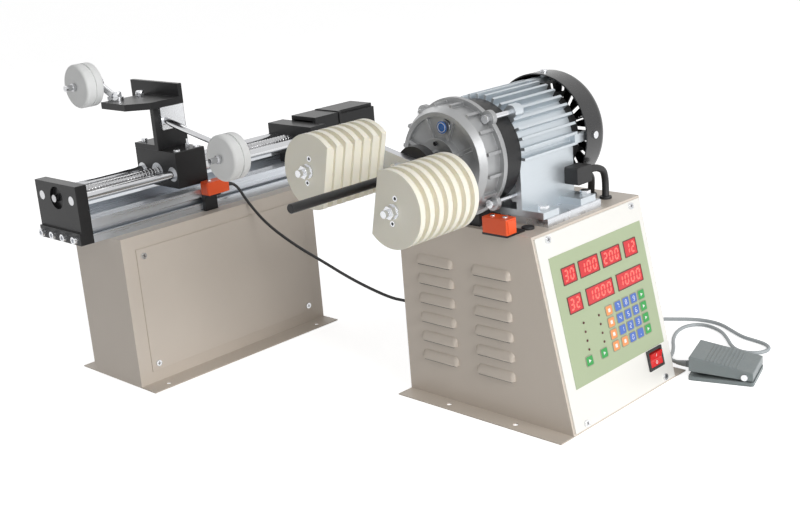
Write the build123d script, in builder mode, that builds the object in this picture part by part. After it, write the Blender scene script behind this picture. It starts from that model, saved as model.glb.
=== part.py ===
from build123d import *
import os
from math import cos, hypot, pi, radians, sin, tan

# A wire coil winding machine: the winding head with its planetary gear motor and two coil
# formers, the traverse stand with its wire guide, and the foot switch.
# X runs along the spindle, from the formers to the motor's tail.
# Y runs from the operator's panel to the traverse stand. Z is up from the bench.
# The origin is on the bench, under the middle of the winding head's cabinet.

os.makedirs("parts", exist_ok=True)

# ---- clearances and common fasteners
running_gap = 0.05  # radial, between a shaft and its bore
loose_gap = 0.3  # between pieces that only lie side by side
cut_over = 1.0  # how far a cut runs past the face it opens
screw_head_radius = 4.2
screw_head_height = 2.4
screw_radius = 1.9
screw_reach = 6.0

# ---- winding head: cabinet
sheet = 1.5
head_width = 212.0
head_depth = 254.0
head_height = 229.0
head_slope = 49.0  # how far the panel leans back over its height
head_flange = 24.0
flange_hole_radius = 3.5
head_flange_hole_reach = 52.0
panel_lip = 14.0
louvre_length = 50.0
louvre_height = 8.0
louvre_depth = 4.5
louvre_skin = 1.0
louvre_rows = 6
louvre_pitch = 24.8
louvre_first = 50.0
louvre_columns_y = (71.0, -17.0)

# ---- winding head: control panel, measured along the slope from its bottom edge
panel_thickness = 2.0
panel_edge = 3.0
panel_screw_inset_x = 24.0
panel_screw_inset_t = 8.5
label_width = 181.0
label_low = 50.5
label_high = 204.8
label_middle_x = 3.5
label_thickness = 0.5
window_height = 19.0
window_gap = 0.2
display_depth = 8.0
display_proud = 0.3
upper_displays_t = 178.5
upper_displays_x = ((-57.8, 24.5), (-19.8, 36.5), (24.7, 36.5), (64.7, 24.5))
lower_displays_t = 144.5
lower_displays_x = ((-57.8, 24.5), (-9.0, 51.0), (51.7, 51.0))
key_width = 13.0
key_height = 12.0
key_rise = 0.5
key_corner = 2.0
key_pitch = 16.4
key_rows_t = (119.0, 104.4, 89.9, 75.4)
key_column_gap = 18.2  # from the first column to the second, which stands apart
key_first_x = -0.4
key_columns = 5
side_keys = ((-54.0, 74.4), (-25.0, 74.4))
lamp_radius = 1.2
lamp_rise = 0.4
lamp_columns_x = (-50.5, -20.6)
lamp_pitch = 10.7
lamp_rows = 4
switch_x = 69.5
switch_t = 36.8
switch_width = 31.0
switch_height = 25.5
switch_bezel = 2.0
switch_frame = 3.0
switch_depth = 24.0
rocker_rise = 3.5
rocker_tilt = 9.0
rocker_end_gap = 1.15  # from the rocker's tips to the frame
rocker_body = 5.0  # how far the rocker reaches in behind its axis
rocker_pin_radius = 1.5
rocker_pin_length = 1.5
board_gap = 0.2
board_thickness = 1.6
board_margin = 8.0
standoff_radius = 3.0

# ---- winding head: inside and rear
supply_length = 130.0
supply_width = 90.0
supply_height = 45.0
supply_vent_radius = 3.0
supply_vent_depth = 2.0
supply_vent_pitch_x = 16.25
supply_vent_pitch_y = 15.0
supply_vents_x = 6
supply_vents_y = 4
terminal_height = 12.0
inlet_width = 48.0
inlet_height = 22.0
inlet_depth = 24.0
inlet_rim = 4.0
inlet_x = -55.0
inlet_z = 60.0
socket_radius = 8.0
socket_depth = 14.0
socket_nose = 12.0
plug_radius = 6.5
socket_flange = 2.0
sensor_socket_x = -60.0
sensor_socket_z = 96.0
pedal_socket_x = 62.0
pedal_socket_z = 42.0
stepper_socket_x = -15.0
stepper_socket_z = 96.0

# ---- gear motor
axis_y = 20.5
plate_length = 103.0
plate_depth = 181.0
plate_thickness = 10.0
plate_front_x = -64.0
axis_above_plate = 72.5
housing_front_x = -69.5
housing_length = 100.0
housing_radius = 58.0
housing_bore = 50.0
fin_tip_radius = 66.5
fin_thickness = 3.4
fin_step = 10.5  # degrees
fin_count = 19
skirt_half_width = 58.5
foot_half_width = 89.0
foot_height = 8.0
foot_cut_length = 42.0
foot_bolt_reach = 79.0
foot_bolt_inset = 13.5
foot_bolt_spacing = 80.0
boss_radius = 8.0
boss_count = 4
boss_reach = 68.0
boss_length = 14.0
finger_count = 4
lug_width = 11.0
lug_thickness = 6.0
lug_length = 33.0
skirt_wall = 8.0
foot_bolt_radius = 3.5
foot_bolt_head = 6.5
foot_bolt_head_height = 5.0
cowl_screw_radius = 2.5
cowl_screw_head = 4.5
cowl_radius = 72.0
cowl_wall = 1.6
cowl_front_x = 41.5
cowl_length = 41.5
cowl_round = 13.0
cowl_slot_count = 18
cowl_slot_width = 4.0
cowl_slot_inner = 18.0
cowl_slot_outer = 54.0
cowl_screw_x = 56.0
shield_thickness = 9.0
shield_spigot = 6.0
shield_radius = 60.0
bearing_outer = 15.5
bearing_width = 8.0
seat_lip_radius = 13.0
rotor_shaft_radius = 7.5
rotor_core_length = 62.0
rotor_core_gap = 0.6
stator_length = 60.0
stator_slots = 12
stator_slot_radius = 7.0
stator_bore = 30.6
coil_end_length = 9.0
coil_end_inner = 34.0
coil_end_outer = 47.0
fan_hub_radius = 14.0
fan_radius = 57.0
fan_disc = 2.0
fan_blades = 9
fan_blade_height = 14.0
fan_blade_thickness = 2.0
fan_clear = 3.0

# ---- planetary gears
gear_module = 1.8
sun_teeth = 12
planet_teeth = 21
planet_count = 3
tooth_addendum = 0.75  # in modules
tooth_dedendum = 1.15
tooth_flank = 22.0  # degrees
tooth_backlash = 0.09  # share of the tooth's thickness
gear_width = 14.0
gear_side_gap = 1.0
ring_radius = 61.0
ring_length = 34.0
ring_web = 9.0
ring_foot_width = 36.0
ring_foot_length = 20.0
planet_pin_radius = 4.0
carrier_radius = 40.0
carrier_thickness = 7.0

# ---- gearbox cover
cover_flange = 6.0
cover_flange_radius = 69.0
cover_barrel_radius = 62.5
cover_barrel_length = 20.0
cover_face_radius = 57.0
cover_dome = 8.0
cover_wall = 5.0
cover_hub_radius = 28.5
cover_hub_length = 6.0
cover_lip_radius = 16.0
cover_lip = 3.0
cover_rib_count = 8
cover_rib_width = 4.0
cover_rib_height = 3.0
cover_recess_radius = 52.0
cover_recess_depth = 4.0
cover_boss_gap = 4.5  # from the bearing boss to the planet carrier
badge_radius = 8.0
badge_reach = 42.0
badge_angle = 101.0
badge_rise = 0.6
lug_bolt_radius = 3.0
lug_bolt_head = 5.0
lug_bolt_head_length = 5.0
lug_pad = 9.0

# ---- spindle, arm and formers
spindle_radius = 12.5
spindle_bearing_outer = 23.5
spindle_bearing_width = 12.0
spindle_flange_radius = 27.0
spindle_flange_length = 12.0
arm_tilt = 13.0  # degrees, as the spindle stands in the rest position
arm_length = 184.0
arm_height = 28.0
arm_thickness = 10.0
arm_front_x = -191.0
arm_corner = 5.0
slot_inner = 50.0
slot_outer = 79.0
rod_radius = 5.2
rod_front_x = -363.0
rod_neck_radius = 4.6
rod_neck_length = 6.0
rod_tail_radius = 5.0
rod_bore_depth = 34.0
former_reach = 64.5  # from the spindle's axis to the former's bolt
former_radius = 42.0
former_centre_inset = 4.0
former_flat_inset = 27.0
former_ribs = 7
former_rib = 6.8
former_groove = 6.9
former_groove_depth = 6.0
flat_groove_depth = 3.0
former_bolt_radius = 4.0
former_slot_gap = 0.3
insert_reach = 14.0
insert_radius = 3.2
insert_bore = 1.7
insert_depth = 12.0
washer_radius = 8.0
washer_thickness = 1.6
nut_across = 13.0
nut_height = 6.5
bolt_tip = 7.0
bolt_head_height = 5.5
arm_screw_reach = 19.0
arm_screw_radius = 2.5
arm_screw_head = 4.5
arm_screw_head_length = 4.0

# ---- sensors and short leads on the head
sensor_length = 36.0
sensor_width = 18.0
sensor_height = 18.0
sensor_rib = 1.0
sensor_round = 1.5
head_sensor_x = -111.5
head_sensor_y = -38.0
bracket_sheet = 2.5
bracket_reach = 14.0
lead_radius = 4.3
boot_near_x = 12.0
boot_length = 29.0
boot_depth = 19.0
boot_low = 259.0
boot_high = 280.0
boot_corner = 3.0
grommet_radius = 7.5
grommet_rise = 3.0
spare_grommet_x = -78.0
spare_grommet_y = -52.0

# ---- traverse stand
stand_x = -145.0
stand_y = 485.0
stand_length = 329.0
stand_depth = 111.0
stand_height = 205.5
stand_flange = 31.0
stand_hole_inset = 31.0
stand_hole_reach = 18.0
side_panel_inset_x = 20.0
side_panel_low = 17.0
side_panel_high = 187.0
side_panel_thickness = 1.5
side_panel_screw_inset = 10.0
window_lip = 16.0

# ---- linear stage, along X; the middle of the profile is behind the stand's middle
stage_offset_y = 14.5
stage_width = 97.0
profile_height = 30.8
profile_front = 24.0  # how far the profile passes the stand's near end
profile_length = 382.0
slot_mouth = 8.0
slot_depth = 6.0
tray_width = 54.0
tray_depth = 12.0
block_thickness = 16.5
block_top = 46.0  # above the profile's top face
block_lip_height = 16.0
block_screw_rise = 7.5
block_lip = 3.0
drive_block_thickness = 30.0
counterbore_radius = 15.0
counterbore_depth = 5.0
screw_axis_height = 26.5  # above the profile's top face
rail_half_spacing = 35.0
rail_radius = 6.0
ball_screw_radius = 7.0
journal_radius = 5.0
journal_nut_radius = 8.0
journal_nut_length = 8.0
stage_screw_spacing = 26.0
stage_screw_count = 4
stage_screw_radius = 3.0
stage_screw_head = 5.0
stage_screw_head_length = 6.0
coupling_length = 26.0
coupling_radius = 11.0
mount_side = 54.0
mount_length = 48.0
mount_wall = 6.0
stepper_side = 57.0
stepper_flange = 5.0
stepper_length = 74.0
stepper_corner = 5.0
stepper_shaft_radius = 4.0
stepper_shaft_length = 20.0
connector_length = 9.0
connector_width = 30.0
connector_height = 16.0

# ---- carriage and wire guide
carriage_front = 117.0  # from the stand's near end, at rest
carriage_length = 49.0
carriage_gap = 7.5  # over the profile
carriage_top = 57.0  # above the profile's top face
carriage_inset = 2.5
bushing_radius = 10.0
bushing_length = 22.0
ball_nut_radius = 13.0
ball_nut_flange = 19.0
ball_nut_flange_length = 7.0
post_width = 50.0
post_thickness = 8.0
post_height = 60.0
post_front_y = 10.0  # in front of the stage's middle
post_foot_depth = 50.0
clamp_width = 38.0
clamp_height = 31.0
clamp_thickness = 5.0
clamp_low = 27.0
clamp_offset_x = 2.0
guide_leg_thickness = 6.0
guide_leg_height = 27.0
guide_leg_x = 9.0  # behind the carriage's middle
guide_length_y = 112.0
guide_front_y = 25.0  # in front of the stage's middle
tongue_front_y = 25.0
tongue_length_y = 80.0
guide_tongue = 72.0
guide_tongue_thickness = 9.0
guide_chamfer = 24.0
acorn_radius = 6.5
acorn_height = 8.0
acorn_spacing = 36.0
acorn_inset_x = 17.0
acorn_inset_y = 13.0
eye_radius = 8.0
eye_height = 5.0
boss_eye_radius = 7.5
boss_eye_length = 12.0
guide_rod_radius = 5.0
rear_rod_length = 40.0
rear_rod_tilt = 24.0
front_rod_length = 160.0
front_rod_tilt = -11.0
front_rod_height = 12.0  # over the clamp's bottom edge
front_rod_offset_x = -10.0
roller_radius = 30.0
roller_width = 27.0
roller_groove_radius = 28.0
roller_groove_width = 3.0
roller_round = 4.0
roller_bore = 4.0
roller_gap = 1.5
axle_radius = 3.9
axle_tip = 11.0
axle_nut_radius = 6.0
axle_nut_length = 4.0
limit_sensor_start = 150.0
limit_sensor_rise = 10.5  # of the sensor's underside, over the profile's top less its height
clip_width = 21.0
clip_drop = 23.0
clip_gap = 1.0
clip_thickness = 6.0
nipple_radius = 3.0
nipple_height = 12.0
nipple_setback = 10.0
cap_screw_radius = 4.5
cap_screw_height = 5.0
post_foot_thickness = 7.0

# ---- foot switch
pedal_x = 148.5
pedal_y = -173.0
pedal_turn = 17.5  # degrees
pedal_length = 80.0
pedal_width = 64.0
pedal_heel_height = 31.0
pedal_toe_height = 17.0
tray_height = 5.0
treadle_wall = 2.0
treadle_heel_lip = 12.0
treadle_toe_lip = 6.5
pin_inset = 11.0
pin_height = 11.0
pin_radius = 2.5
pin_head_radius = 4.0
pin_head_length = 1.6
tread_rib_count = 9
tread_rib_pitch = 4.6
tread_rib_height = 0.8
spring_radius = 5.0
spring_wall = 1.5
spring_u = -27.0
spring_v = 17.0
spring_inset = 1.2
switch_u = -8.0
switch_length_u = 26.0
switch_width_v = 30.0
switch_height_z = 13.0
pin_block_length = 10.0
pin_block_height = 14.5
treadle_inset = 1.0
treadle_side_gap = 1.0
notch_width = 12.0
notch_height = 19.5
tread_round = 1.5
gland_radius = 4.5
gland_length = 9.0
gland_height = 8.5
lead_plug_length = 22.0

# ---- leads, each a hand-laid route of points
inner_motor_lead = (
    (41.0, -43.0, 267.0),
    (54.0, -41.5, 264.5),
    (67.0, -37.0, 256.0),
    (75.0, -31.0, 245.0),
    (79.0, -27.0, 232.0),
    (79.5, -26.0, 220.0),
)
outer_motor_lead = (
    (41.0, -51.5, 272.0),
    (57.0, -52.5, 271.5),
    (71.0, -52.0, 265.0),
    (77.0, -50.0, 254.0),
    (77.5, -50.0, 242.0),
    (75.5, -51.0, 230.0),
    (75.0, -51.5, 219.0),
)
sensor_lead_radius = 2.0
sensor_lead_route = (
    (-123.5, 442.0, 236.0),
    (-115.5, 442.0, 236.0),
    (-108.5, 441.0, 232.5),
    (-103.5, 438.5, 225.0),
    (-101.0, 433.0, 214.5),
    (-100.0, 421.0, 202.0),
    (-100.2, 399.0, 186.0),
    (-100.0, 372.0, 172.0),
    (-99.0, 328.0, 155.0),
    (-98.0, 284.0, 142.5),
    (-95.0, 240.0, 127.0),
    (-82.0, 209.0, 111.0),
    (-68.0, 188.0, 99.0),
    (-60.0, 173.0, 96.0),
    (-60.0, 161.0, 96.0),
)
pedal_lead_radius = 2.5
pedal_lead_route = (
    (133.77, -126.27, 8.5),
    (130.8, -116.8, 8.5),
    (133.8, -105.6, 8.2),
    (141.5, -97.0, 6.8),
    (154.0, -90.5, 4.6),
    (170.0, -83.5, 2.9),
    (188.0, -73.5, 2.7),
    (206.0, -61.0, 2.7),
    (229.0, -50.5, 2.7),
    (247.0, -46.5, 2.7),
    (262.0, -47.5, 2.7),
    (274.0, -54.5, 2.7),
    (279.0, -66.0, 2.7),
    (277.0, -80.0, 2.7),
    (268.0, -99.0, 2.7),
    (250.0, -117.0, 2.7),
    (230.0, -134.0, 2.7),
    (219.0, -150.0, 2.7),
    (220.0, -167.0, 2.7),
    (230.0, -179.0, 2.7),
    (245.0, -181.0, 2.7),
    (257.0, -171.0, 2.7),
    (262.0, -154.0, 2.7),
    (265.0, -132.0, 2.7),
    (279.0, -107.0, 2.7),
    (291.0, -87.0, 2.7),
    (295.0, -69.0, 2.7),
    (293.5, -52.0, 2.7),
    (288.0, -37.0, 2.7),
    (278.0, -20.0, 2.7),
    (262.0, 6.0, 2.7),
    (245.0, 36.0, 2.7),
    (223.0, 70.0, 2.7),
    (200.0, 108.0, 2.7),
    (174.0, 144.0, 2.7),
    (143.0, 172.0, 2.7),
    (112.0, 190.0, 4.0),
    (88.0, 197.0, 11.0),
    (72.0, 194.0, 25.0),
    (64.0, 183.0, 37.0),
    (62.0, 172.0, 42.0),
    (62.0, 161.0, 42.0),
)

# ---- sizes that follow from the ones above
half_width = head_width / 2
half_depth = head_depth / 2
head_top_front_y = head_slope - half_depth
plate_top = head_height + plate_thickness
panel_length = hypot(head_slope, head_height)
slope_y = head_slope / panel_length
slope_z = head_height / panel_length
axis_z = head_height + plate_thickness + axis_above_plate
arm_y = cos(radians(arm_tilt))
arm_z = sin(radians(arm_tilt))
housing_rear_x = housing_front_x + housing_length
foot_bolts_x = (
    housing_front_x + foot_bolt_inset,
    housing_front_x + foot_bolt_inset + foot_bolt_spacing,
)
foot_bolt_places = [
    (bolt_x, axis_y + side * foot_bolt_reach) for bolt_x in foot_bolts_x for side in (-1, 1)
]
grommet_places = (
    inner_motor_lead[-1][:2],
    outer_motor_lead[-1][:2],
    (spare_grommet_x, spare_grommet_y),
)
ring_front_x = housing_front_x - ring_length
cover_face_x = ring_front_x - cover_flange - cover_barrel_length - cover_dome
hub_face_x = cover_face_x - cover_hub_length
stand_near_x = stand_x - stand_length / 2
stand_front_y = stand_y - stand_depth / 2
stage_y = stand_y + stage_offset_y
profile_top = stand_height + profile_height
profile_near_x = stand_near_x - profile_front
profile_far_x = profile_near_x + profile_length
screw_z = profile_top + screw_axis_height
carriage_x = stand_near_x + carriage_front + carriage_length / 2
carriage_top_z = profile_top + carriage_top


def finish(piece, name):
    """Label one finished piece and write its file."""
    piece.part.label = name
    export_step(piece.part, f"parts/{name}.step")


def across(x, y=axis_y, z=axis_z):
    """A plane square to the X axis: local x is Y, local y is Z."""
    return Plane(origin=(x, y, z), x_dir=(0, 1, 0), z_dir=(1, 0, 0))


def arm_across(x):
    """A plane square to the spindle whose local x lies along the cross arm."""
    return Plane(origin=(x, axis_y, axis_z), x_dir=(0, arm_y, arm_z), z_dir=(1, 0, 0))


panel_plane = Plane(
    origin=(0, -half_depth, 0), x_dir=(1, 0, 0), z_dir=(0, -slope_z, slope_y)
)


def gear_outline(teeth, inward=False, turn=0.0):
    """Corner points of a gear with straight flanks, its first tooth at the given angle."""
    pitch_radius = gear_module * teeth / 2
    half_tooth = pi * gear_module / 4 * (1 - tooth_backlash)
    slant = tan(radians(tooth_flank))
    side = -1 if inward else 1
    tip = tooth_addendum * gear_module
    root = tooth_dedendum * gear_module
    steps = (
        (pitch_radius - side * root, -(half_tooth + root * slant)),
        (pitch_radius + side * tip, -(half_tooth - tip * slant)),
        (pitch_radius + side * tip, half_tooth - tip * slant),
        (pitch_radius - side * root, half_tooth + root * slant),
    )
    points = []
    for tooth in range(teeth):
        middle = radians(turn) + 2 * pi * tooth / teeth
        for radius, shift in steps:
            angle = middle + shift / pitch_radius
            points.append((radius * cos(angle), radius * sin(angle)))
    return points


def bend_radii(route):
    """The radius of each arc of a lead: 0.45 of the shorter run over the half turn."""
    radii = []
    for before, here, after in zip(route, route[1:], route[2:]):
        run_in = Vector(*here) - Vector(*before)
        run_out = Vector(*after) - Vector(*here)
        half_turn = radians(run_in.get_angle(run_out)) / 2
        radii.append(0.45 * min(run_in.length, run_out.length) / tan(half_turn))
    return radii


# ======================================================================= winding head

panel_screw_places = [
    (side * (half_width - panel_screw_inset_x), t)
    for side in (-1, 1)
    for t in (panel_screw_inset_t, panel_length - panel_screw_inset_t)
]

with BuildPart() as head_cabinet:
    with BuildSketch(Plane.YZ.offset(-half_width)):
        Polygon(
            (-half_depth, 0),
            (half_depth, 0),
            (half_depth, head_height),
            (head_top_front_y, head_height),
            align=None,
        )
    extrude(amount=head_width)
    offset(amount=-sheet, openings=head_cabinet.faces().sort_by(Axis.Z)[0])
    # the front wall keeps only a lip around the panel's opening
    with BuildSketch(panel_plane):
        with Locations((0, panel_length / 2)):
            Rectangle(head_width - 2 * panel_lip, panel_length - 2 * panel_lip)
        with Locations(*panel_screw_places):
            Circle(screw_radius)
    extrude(amount=2 * sheet, both=True, mode=Mode.SUBTRACT)
    # floor flanges with their bench holes
    for side in (-1, 1):
        with BuildSketch(Plane.XY):
            with Locations((side * (half_width + head_flange / 2 - sheet / 2), 0)):
                Rectangle(head_flange + sheet, head_depth)
            with Locations(
                (side * (half_width + head_flange / 2), -head_flange_hole_reach),
                (side * (half_width + head_flange / 2), head_flange_hole_reach),
            ):
                Circle(flange_hole_radius, mode=Mode.SUBTRACT)
        extrude(amount=sheet)
    # pressed louvres with their mouths downward
    louvre_places = [
        (-half_width, louvre_first + row * louvre_pitch) for row in range(louvre_rows)
    ]
    for column_y in louvre_columns_y:
        with BuildSketch(Plane.XZ.offset(-column_y)):
            with Locations(*louvre_places):
                Polygon((0, louvre_height), (-louvre_depth, 0), (0, 0), align=None)
        extrude(amount=louvre_length / 2, both=True)
        with BuildSketch(Plane.XZ.offset(-column_y)):
            with Locations(*louvre_places):
                Polygon(
                    (sheet + cut_over, louvre_height - 2 * louvre_skin),
                    (0, louvre_height - 2 * louvre_skin),
                    (louvre_skin - louvre_depth, -cut_over),
                    (-sheet, -cut_over),
                    (sheet + cut_over, 0),
                    align=None,
                )
        extrude(
            amount=louvre_length / 2 - louvre_skin, both=True, mode=Mode.SUBTRACT
        )
    # holes for the motor's leads, the spare lead and the rear connectors
    with BuildSketch(Plane.XY.offset(head_height)):
        with Locations(*grommet_places):
            Circle(grommet_radius - cut_over)
        with Locations(*foot_bolt_places):
            Circle(foot_bolt_radius)
    extrude(amount=-2 * sheet, mode=Mode.SUBTRACT)
    with BuildSketch(Plane.XZ.offset(-half_depth)):
        with Locations((inlet_x, inlet_z)):
            Rectangle(inlet_width - 2 * inlet_rim, inlet_height)
        with Locations(
            (sensor_socket_x, sensor_socket_z),
            (pedal_socket_x, pedal_socket_z),
            (stepper_socket_x, stepper_socket_z),
        ):
            Circle(socket_radius)
    extrude(amount=2 * sheet, mode=Mode.SUBTRACT)
finish(head_cabinet, "head_cabinet")

with BuildPart() as head_base_plate:
    with BuildSketch(Plane.XY):
        Rectangle(
            head_width - 2 * (sheet + loose_gap), head_depth - 2 * (sheet + loose_gap) - 1
        )
    extrude(amount=sheet)
finish(head_base_plate, "head_base_plate")


def window_sketch(margin):
    """Sketch one row of rectangles per display row, each larger than its display."""
    for row_t, row in (
        (upper_displays_t, upper_displays_x),
        (lower_displays_t, lower_displays_x),
    ):
        for window_x, window_width in row:
            with Locations((window_x, row_t)):
                Rectangle(window_width + 2 * margin, window_height + 2 * margin)


switch_hole = switch_frame - switch_bezel

with BuildPart() as control_panel:
    with BuildSketch(panel_plane):
        with Locations((0, panel_length / 2)):
            Rectangle(head_width - 2 * panel_edge, panel_length - 2 * panel_edge)
        window_sketch(window_gap)
    extrude(amount=panel_thickness)
    with BuildSketch(panel_plane):
        window_sketch(window_gap)
        with Locations((switch_x, switch_t)):
            Rectangle(switch_width - 2 * switch_hole, switch_height - 2 * switch_hole)
        with Locations(*panel_screw_places):
            Circle(screw_radius)
    extrude(amount=panel_thickness, mode=Mode.SUBTRACT)
finish(control_panel, "control_panel")

label_face = panel_plane.offset(panel_thickness)
key_columns_x = [key_first_x] + [
    key_first_x + key_column_gap + column * key_pitch for column in range(key_columns - 1)
]
key_places = [(x, t) for t in key_rows_t for x in key_columns_x]
lamp_places = [
    (lamp_x, key_rows_t[0] - row * lamp_pitch)
    for lamp_x in lamp_columns_x
    for row in range(lamp_rows)
]

with BuildPart() as keypad_overlay:
    with BuildSketch(label_face):
        with Locations((label_middle_x, (label_low + label_high) / 2)):
            Rectangle(label_width, label_high - label_low)
    extrude(amount=label_thickness)
    with BuildSketch(label_face):
        window_sketch(window_gap)
    extrude(amount=label_thickness, mode=Mode.SUBTRACT)
    with BuildSketch(label_face.offset(label_thickness)):
        with Locations(*key_places, *side_keys):
            RectangleRounded(key_width, key_height, key_corner)
    extrude(amount=key_rise)
    with BuildSketch(label_face.offset(label_thickness)):
        with Locations(*lamp_places):
            Circle(lamp_radius)
    extrude(amount=lamp_rise)
finish(keypad_overlay, "keypad_overlay")

display_top = panel_thickness + label_thickness + display_proud
with BuildPart() as led_displays:
    with BuildSketch(panel_plane.offset(display_top)):
        window_sketch(0)
    extrude(amount=-display_depth)
finish(led_displays, "led_displays")

board_face = display_top - display_depth - board_gap
with BuildPart() as control_board:
    with BuildSketch(panel_plane.offset(board_face)):
        with Locations((label_middle_x, (label_low + label_high) / 2)):
            Rectangle(label_width - 2 * board_margin, label_high - label_low)
    extrude(amount=-board_thickness)
    # spacers between the board and the panel
    with BuildSketch(panel_plane):
        with Locations((label_middle_x, (label_low + label_high) / 2)):
            with GridLocations(
                label_width - 4 * board_margin, label_high - label_low - board_margin, 2, 2
            ):
                Circle(standoff_radius)
    extrude(amount=board_face)
finish(control_board, "control_board")

# the rocker turns about an axis along X, level with the panel's face
rocker_half = switch_height / 2 - switch_frame - rocker_end_gap
rocker_half_length = switch_width / 2 - switch_frame - loose_gap
rocker_cos = cos(radians(rocker_tilt))
rocker_sin = sin(radians(rocker_tilt))
rocker_centre = label_face.from_local_coords((switch_x, switch_t, 0))
rocker_plane = Plane(
    origin=rocker_centre,
    x_dir=(
        0,
        slope_y * rocker_cos - slope_z * rocker_sin,
        slope_z * rocker_cos + slope_y * rocker_sin,
    ),
    z_dir=(1, 0, 0),
)

with BuildPart(mode=Mode.PRIVATE) as rocker_pin_bore:
    with BuildSketch(rocker_plane):
        Circle(rocker_pin_radius + running_gap)
    extrude(amount=rocker_half_length + loose_gap + rocker_pin_length, both=True)

with BuildPart() as power_switch_housing:
    with BuildSketch(label_face):
        with Locations((switch_x, switch_t)):
            Rectangle(switch_width, switch_height)
    extrude(amount=switch_bezel)
    with BuildSketch(label_face):
        with Locations((switch_x, switch_t)):
            Rectangle(
                switch_width - 2 * switch_hole - loose_gap,
                switch_height - 2 * switch_hole - loose_gap,
            )
    extrude(amount=-switch_depth)
    with BuildSketch(label_face.offset(switch_bezel)):
        with Locations((switch_x, switch_t)):
            Rectangle(switch_width - 2 * switch_frame, switch_height - 2 * switch_frame)
    extrude(amount=-switch_depth / 2, mode=Mode.SUBTRACT)
    add(rocker_pin_bore.part, mode=Mode.SUBTRACT)
finish(power_switch_housing, "power_switch_housing")

with BuildPart() as power_switch_rocker:
    with BuildSketch(rocker_plane):
        Polygon(
            (-rocker_half, rocker_rise),
            (0, switch_bezel),
            (rocker_half, rocker_rise),
            (rocker_half - rocker_end_gap, -rocker_body),
            (rocker_end_gap - rocker_half, -rocker_body),
            align=None,
        )
    extrude(amount=rocker_half_length, both=True)
    with BuildSketch(rocker_plane):
        Circle(rocker_pin_radius)
    extrude(amount=rocker_half_length + rocker_pin_length, both=True)
finish(power_switch_rocker, "power_switch_rocker")

with BuildPart() as power_supply:
    with BuildSketch(Plane.XY.offset(sheet)):
        Rectangle(supply_length, supply_width)
    extrude(amount=supply_height)
    with BuildSketch(Plane.XY.offset(sheet + supply_height)):
        with GridLocations(
            supply_vent_pitch_x, supply_vent_pitch_y, supply_vents_x, supply_vents_y
        ):
            Circle(supply_vent_radius)
    extrude(amount=-supply_vent_depth, mode=Mode.SUBTRACT)
    with BuildSketch(Plane.YZ.offset(supply_length / 2)):
        with Locations((0, sheet + terminal_height / 2)):
            Rectangle(supply_width - 2 * terminal_height, terminal_height)
    extrude(amount=terminal_height)
finish(power_supply, "power_supply")

rear_plane = Plane.XZ.offset(-half_depth)
socket_places = (
    (sensor_socket_x, sensor_socket_z),
    (pedal_socket_x, pedal_socket_z),
    (stepper_socket_x, stepper_socket_z),
)

with BuildPart() as rear_connectors:
    # mains inlet with its fuse drawer
    with BuildSketch(rear_plane):
        with Locations((inlet_x, inlet_z)):
            Rectangle(inlet_width, inlet_height + 2 * inlet_rim)
    extrude(amount=-socket_flange)
    with BuildSketch(rear_plane):
        with Locations((inlet_x, inlet_z)):
            Rectangle(
                inlet_width - 2 * inlet_rim - loose_gap, inlet_height - loose_gap
            )
    extrude(amount=inlet_depth)
    with BuildSketch(rear_plane.offset(-socket_flange)):
        with Locations((inlet_x, inlet_z)):
            Rectangle(inlet_width - 3 * inlet_rim, inlet_height - inlet_rim)
    extrude(amount=inlet_depth / 2, mode=Mode.SUBTRACT)
    # round sockets for the sensor, the foot switch and the stepper motor
    with BuildSketch(rear_plane):
        with Locations(*socket_places):
            Circle(socket_radius - loose_gap / 2)
    extrude(amount=socket_depth)
    with BuildSketch(rear_plane):
        with Locations(*socket_places):
            Circle(socket_radius + socket_flange)
    extrude(amount=-socket_flange)
    with BuildSketch(rear_plane):
        with Locations(*socket_places):
            Circle(socket_radius - loose_gap / 2)
    extrude(amount=-socket_nose)
finish(rear_connectors, "rear_connectors")

# ========================================================================= gear motor

# a plane through the spindle's axis: local x is X, local y is the distance from the axis
axis_plane = Plane(origin=(0, axis_y, axis_z), x_dir=(1, 0, 0), z_dir=(0, -1, 0))
spindle_axis = Axis((0, axis_y, axis_z), (1, 0, 0))

with BuildPart() as motor_base_plate:
    with BuildSketch(Plane.XY.offset(head_height)):
        with Locations((plate_front_x + plate_length / 2, axis_y)):
            Rectangle(plate_length, plate_depth)
        with Locations(*foot_bolt_places):
            Circle(foot_bolt_radius, mode=Mode.SUBTRACT)
    extrude(amount=plate_thickness)
    plate_edges = motor_base_plate.faces().sort_by(Axis.Z)[-1].outer_wire().edges()
    chamfer(plate_edges, length=sheet / 2)
finish(motor_base_plate, "motor_base_plate")

boss_turn = 45.0
quarter_turn = 90.0

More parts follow.
